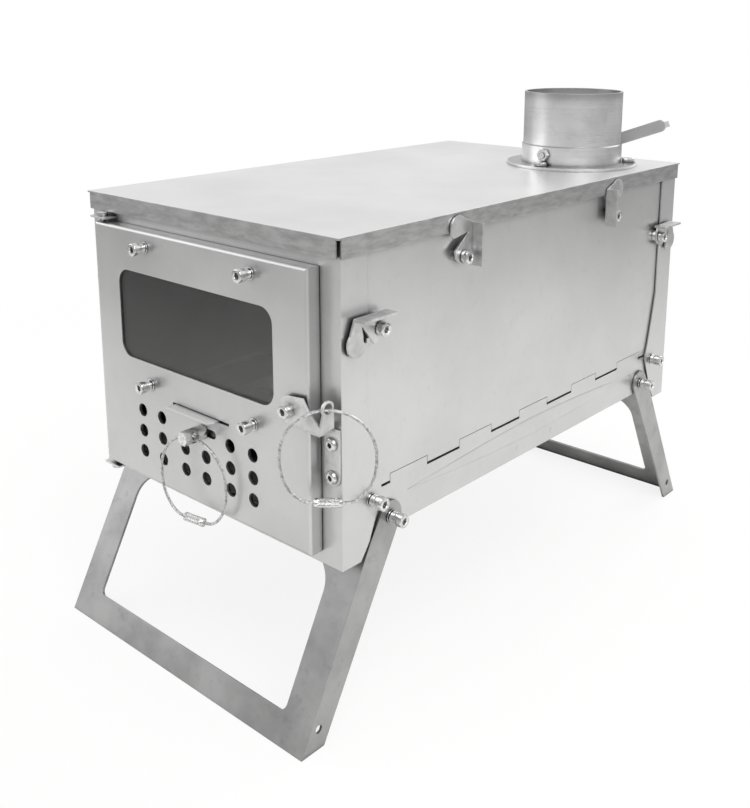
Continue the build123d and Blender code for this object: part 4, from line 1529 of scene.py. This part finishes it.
@dataclass
class PanPressings:
    """A long shallow bead and two dimples that stiffen each side wall of the pan."""

    finishes: Finishes
    wall_x: float = 97.35
    centre_y: float = 2.0
    centre_z: float = 112.5
    half_length: float = 118.0
    half_height: float = 5.6
    rise: float = 0.22
    slope_share: float = 0.16
    sink: float = 0.2
    dimples: tuple[tuple[float, float], ...] = ((20.7, 103.0), (-15.7, 103.0))
    dimple_radius: float = 1.7
    taper: float = 1.6
    steps: int = 72
    across: int = 16

    def bead_half_height(self, share: float) -> float:
        """Half the bead's height at a place along it.

        Args:
            share: the place, from -1 at one tip to 1 at the other.

        Returns:
            Half its height there.
        """
        return max(0.05, self.half_height * (1.0 - abs(share) ** self.taper))

    def bead(self, shape: bmesh.types.BMesh, side: Side) -> None:
        """Press the bead.

        Args:
            shape: the mesh that grows.
            side: the wall that it stands on.
        """
        fronts, backs = [], []
        for step in range(self.steps + 1):
            share = 2.0 * step / self.steps - 1.0
            half = self.bead_half_height(share)
            y = self.centre_y + share * self.half_length
            front, back = [], []
            for count in range(self.across + 1):
                s = 2.0 * count / self.across - 1.0
                slope = min(1.0, (1.0 - abs(s)) / self.slope_share)
                lift = self.rise * slope * slope * (3.0 - 2.0 * slope)
                z = self.centre_z + s * half
                x = side.value * (self.wall_x + lift)
                front.append(shape.verts.new((x * MM, y * MM, z * MM)))
                x = side.value * (self.wall_x - self.sink)
                back.append(shape.verts.new((x * MM, y * MM, z * MM)))
            fronts.append(front)
            backs.append(back)
        self.skin(shape, fronts)
        self.skin(shape, backs)
        rims = [
            ([row[0] for row in fronts], [row[0] for row in backs]),
            ([row[-1] for row in fronts], [row[-1] for row in backs]),
            (fronts[0], backs[0]),
            (fronts[-1], backs[-1]),
        ]
        for first, second in rims:
            for (a, b), (c, d) in zip(zip(first, first[1:]), zip(second, second[1:])):
                shape.faces.new((a, b, d, c))

    @staticmethod
    def skin(shape: bmesh.types.BMesh, rows: list[list[bmesh.types.BMVert]]) -> None:
        """Fill the faces between rows of points.

        Args:
            shape: the mesh that grows.
            rows: the rows.
        """
        for low, high in zip(rows, rows[1:]):
            for a, b, c, d in zip(low, low[1:], high[1:], high):
                shape.faces.new((a, b, c, d))

    def dimple(self, shape: bmesh.types.BMesh, side: Side, y: float, z: float) -> None:
        """Press one round dimple.

        Args:
            shape: the mesh that grows.
            side: the wall that it stands on.
            y: its place along the wall in mm.
            z: its height in mm.
        """
        dimple = bmesh.new()
        add_shell(dimple, [
            Ring(self.dimple_radius, -self.sink),
            Ring(self.dimple_radius, 0.02),
            Ring(self.dimple_radius * 0.8, 0.14),
            Ring(self.dimple_radius * 0.35, self.rise),
        ], 20)
        turn = Matrix.Rotation(side.value * math.pi / 2, 4, "Y")
        place = Matrix.Translation(Vector((side.value * self.wall_x, y, z)) * MM)
        bmesh.ops.transform(dimple, matrix=place @ turn, verts=dimple.verts)
        spot = bpy.data.meshes.new("dimple")
        dimple.to_mesh(spot)
        dimple.free()
        shape.from_mesh(spot)
        bpy.data.meshes.remove(spot)

    def build(self) -> None:
        """Make the pressings of both walls."""
        for side in Side:
            shape = bmesh.new()
            self.bead(shape, side)
            for y, z in self.dimples:
                self.dimple(shape, side, y, z)
            name = f"pan_pressings_{side.name.lower()}"
            piece = linked(name, finished_mesh(name, shape, 50.0))
            piece.data.materials.append(self.finishes.sheet)
            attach(piece, "firebox")
            LOG.info("pressed %s", name)


@dataclass(frozen=True)
class SoftLamp:
    """A square lamp over the table: place and side in metres, power in watts."""

    name: str
    place: Point
    side: float
    power: float


@dataclass
class Studio:
    """The pale floor, the soft lamps, the white backdrop and the camera."""

    floor_radius: float = 6.0
    camera_place: Point = (409.8, -488.4, 347.9)
    azimuth_deg: float = 41.97
    elevation_deg: float = 12.64
    focal_px: float = 1020.0
    sensor_mm: float = 36.0
    frame_height_px: float = 808.0
    principal_y_px: float = 250.0
    clip_start: float = 0.02
    bright_side: Point = (-0.55, 0.83, 0.0)
    dim_light: float = 0.60
    bright_light: float = 0.80
    sky_light: float = 0.25
    sky_rise: float = 0.7
    soft_light: float = 0.75
    lamp_target: Point = (0.0, 0.0, 0.17)
    lamps: tuple[SoftLamp, ...] = (
        SoftLamp("key_lamp", (1.1, -0.5, 1.5), 1.2, 16.0),
        SoftLamp("fill_lamp", (-1.5, -1.0, 0.9), 1.4, 7.0),
        SoftLamp("back_lamp", (0.2, 1.6, 1.4), 1.2, 9.0),
    )

    def floor(self) -> None:
        """Lay the floor."""
        shape = bmesh.new()
        bmesh.ops.create_circle(shape, cap_ends=True, radius=self.floor_radius, segments=96)
        piece = linked("studio_floor", finished_mesh("studio_floor", shape))
        piece.data.materials.append(PaleFloor().build())

    def hang(self, soft: SoftLamp) -> None:
        """Hang one soft lamp.

        Args:
            soft: the lamp.
        """
        data = bpy.data.lights.new(soft.name, "AREA")
        data.shape = "SQUARE"
        data.size = soft.side
        data.energy = soft.power
        lamp = bpy.data.objects.new(soft.name, data)
        lamp.location = soft.place
        aim = Vector(self.lamp_target) - Vector(soft.place)
        lamp.rotation_mode = "QUATERNION"
        lamp.rotation_quaternion = aim.to_track_quat("-Z", "Y")
        bpy.context.scene.collection.objects.link(lamp)

    def world(self) -> None:
        """Make the backdrop: white to the camera, and a soft studio for the metal."""
        world = bpy.data.worlds.new("studio")
        world.use_nodes = True
        bpy.context.scene.world = world
        tree = world.node_tree
        tree.nodes.clear()
        direction = add_node(tree, "ShaderNodeTexCoord").outputs["Generated"]
        split = add_node(tree, "ShaderNodeSeparateXYZ", Vector=direction)
        towards = add_node(
            tree, "ShaderNodeVectorMath", {"operation": "DOT_PRODUCT"},
            i0=direction, i1=self.bright_side,
        )
        side = scaled(
            tree, towards.outputs["Value"], self.dim_light, self.bright_light, 0.0, 0.95,
            smooth=True,
        )
        sky = scaled(
            tree, split.outputs["Z"], 0.0, self.sky_light, 0.0, self.sky_rise, smooth=True
        )
        path = add_node(tree, "ShaderNodeLightPath").outputs
        mirrors = maths(tree, "MAXIMUM", path["Is Glossy Ray"], path["Is Transmission Ray"])
        soft, seen, backdrop = (
            add_node(
                tree, "ShaderNodeBackground", Color=linear("#FFFFFF"), Strength=strength
            ).outputs["Background"]
            for strength in (self.soft_light, maths(tree, "ADD", side, sky), 1.0)
        )
        metal = add_node(tree, "ShaderNodeMixShader", i0=mirrors, i1=soft, i2=seen)
        whole = add_node(
            tree, "ShaderNodeMixShader", i0=path["Is Camera Ray"],
            i1=metal.outputs["Shader"], i2=backdrop,
        )
        add_node(tree, "ShaderNodeOutputWorld", Surface=whole.outputs["Shader"])

    def camera(self) -> None:
        """Set the camera at the photograph's viewpoint."""
        data = bpy.data.cameras.new("camera")
        data.sensor_width = self.sensor_mm
        data.lens = self.focal_px * self.sensor_mm / self.frame_height_px
        data.shift_y = (self.principal_y_px - self.frame_height_px / 2) / self.frame_height_px
        data.clip_start = self.clip_start
        camera = bpy.data.objects.new("camera", data)
        bpy.context.scene.collection.objects.link(camera)
        camera.location = tuple(v * MM for v in self.camera_place)
        camera.rotation_euler = (
            math.radians(90.0 - self.elevation_deg), 0.0, math.radians(self.azimuth_deg)
        )
        bpy.context.scene.camera = camera

    def build(self) -> None:
        """Build the studio."""
        self.floor()
        self.world()
        for soft in self.lamps:
            self.hang(soft)
        self.camera()
        bpy.context.scene.view_settings.view_transform = "Standard"


def main() -> None:
    """Build the stove's looks round its frame."""
    logging.basicConfig(level=logging.INFO, format="%(name)s: %(message)s")
    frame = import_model()
    Studio().build()
    finishes = Finishes()
    FrameDresser(frame["nodes"], finishes).dress()
    strands_field = RopeField()
    for name, eye, turn in (
        ("slider_loop", (6.0, -182.6, 137.0), 8.0),
        ("latch_loop", (95.9, -172.4, 172.8), 42.0),
    ):
        WireLoop(name, eye, turn, finishes).build(strands_field)
    Fasteners(finishes).build()
    PanPressings(finishes).build()


if __name__ == "__main__":
    main()
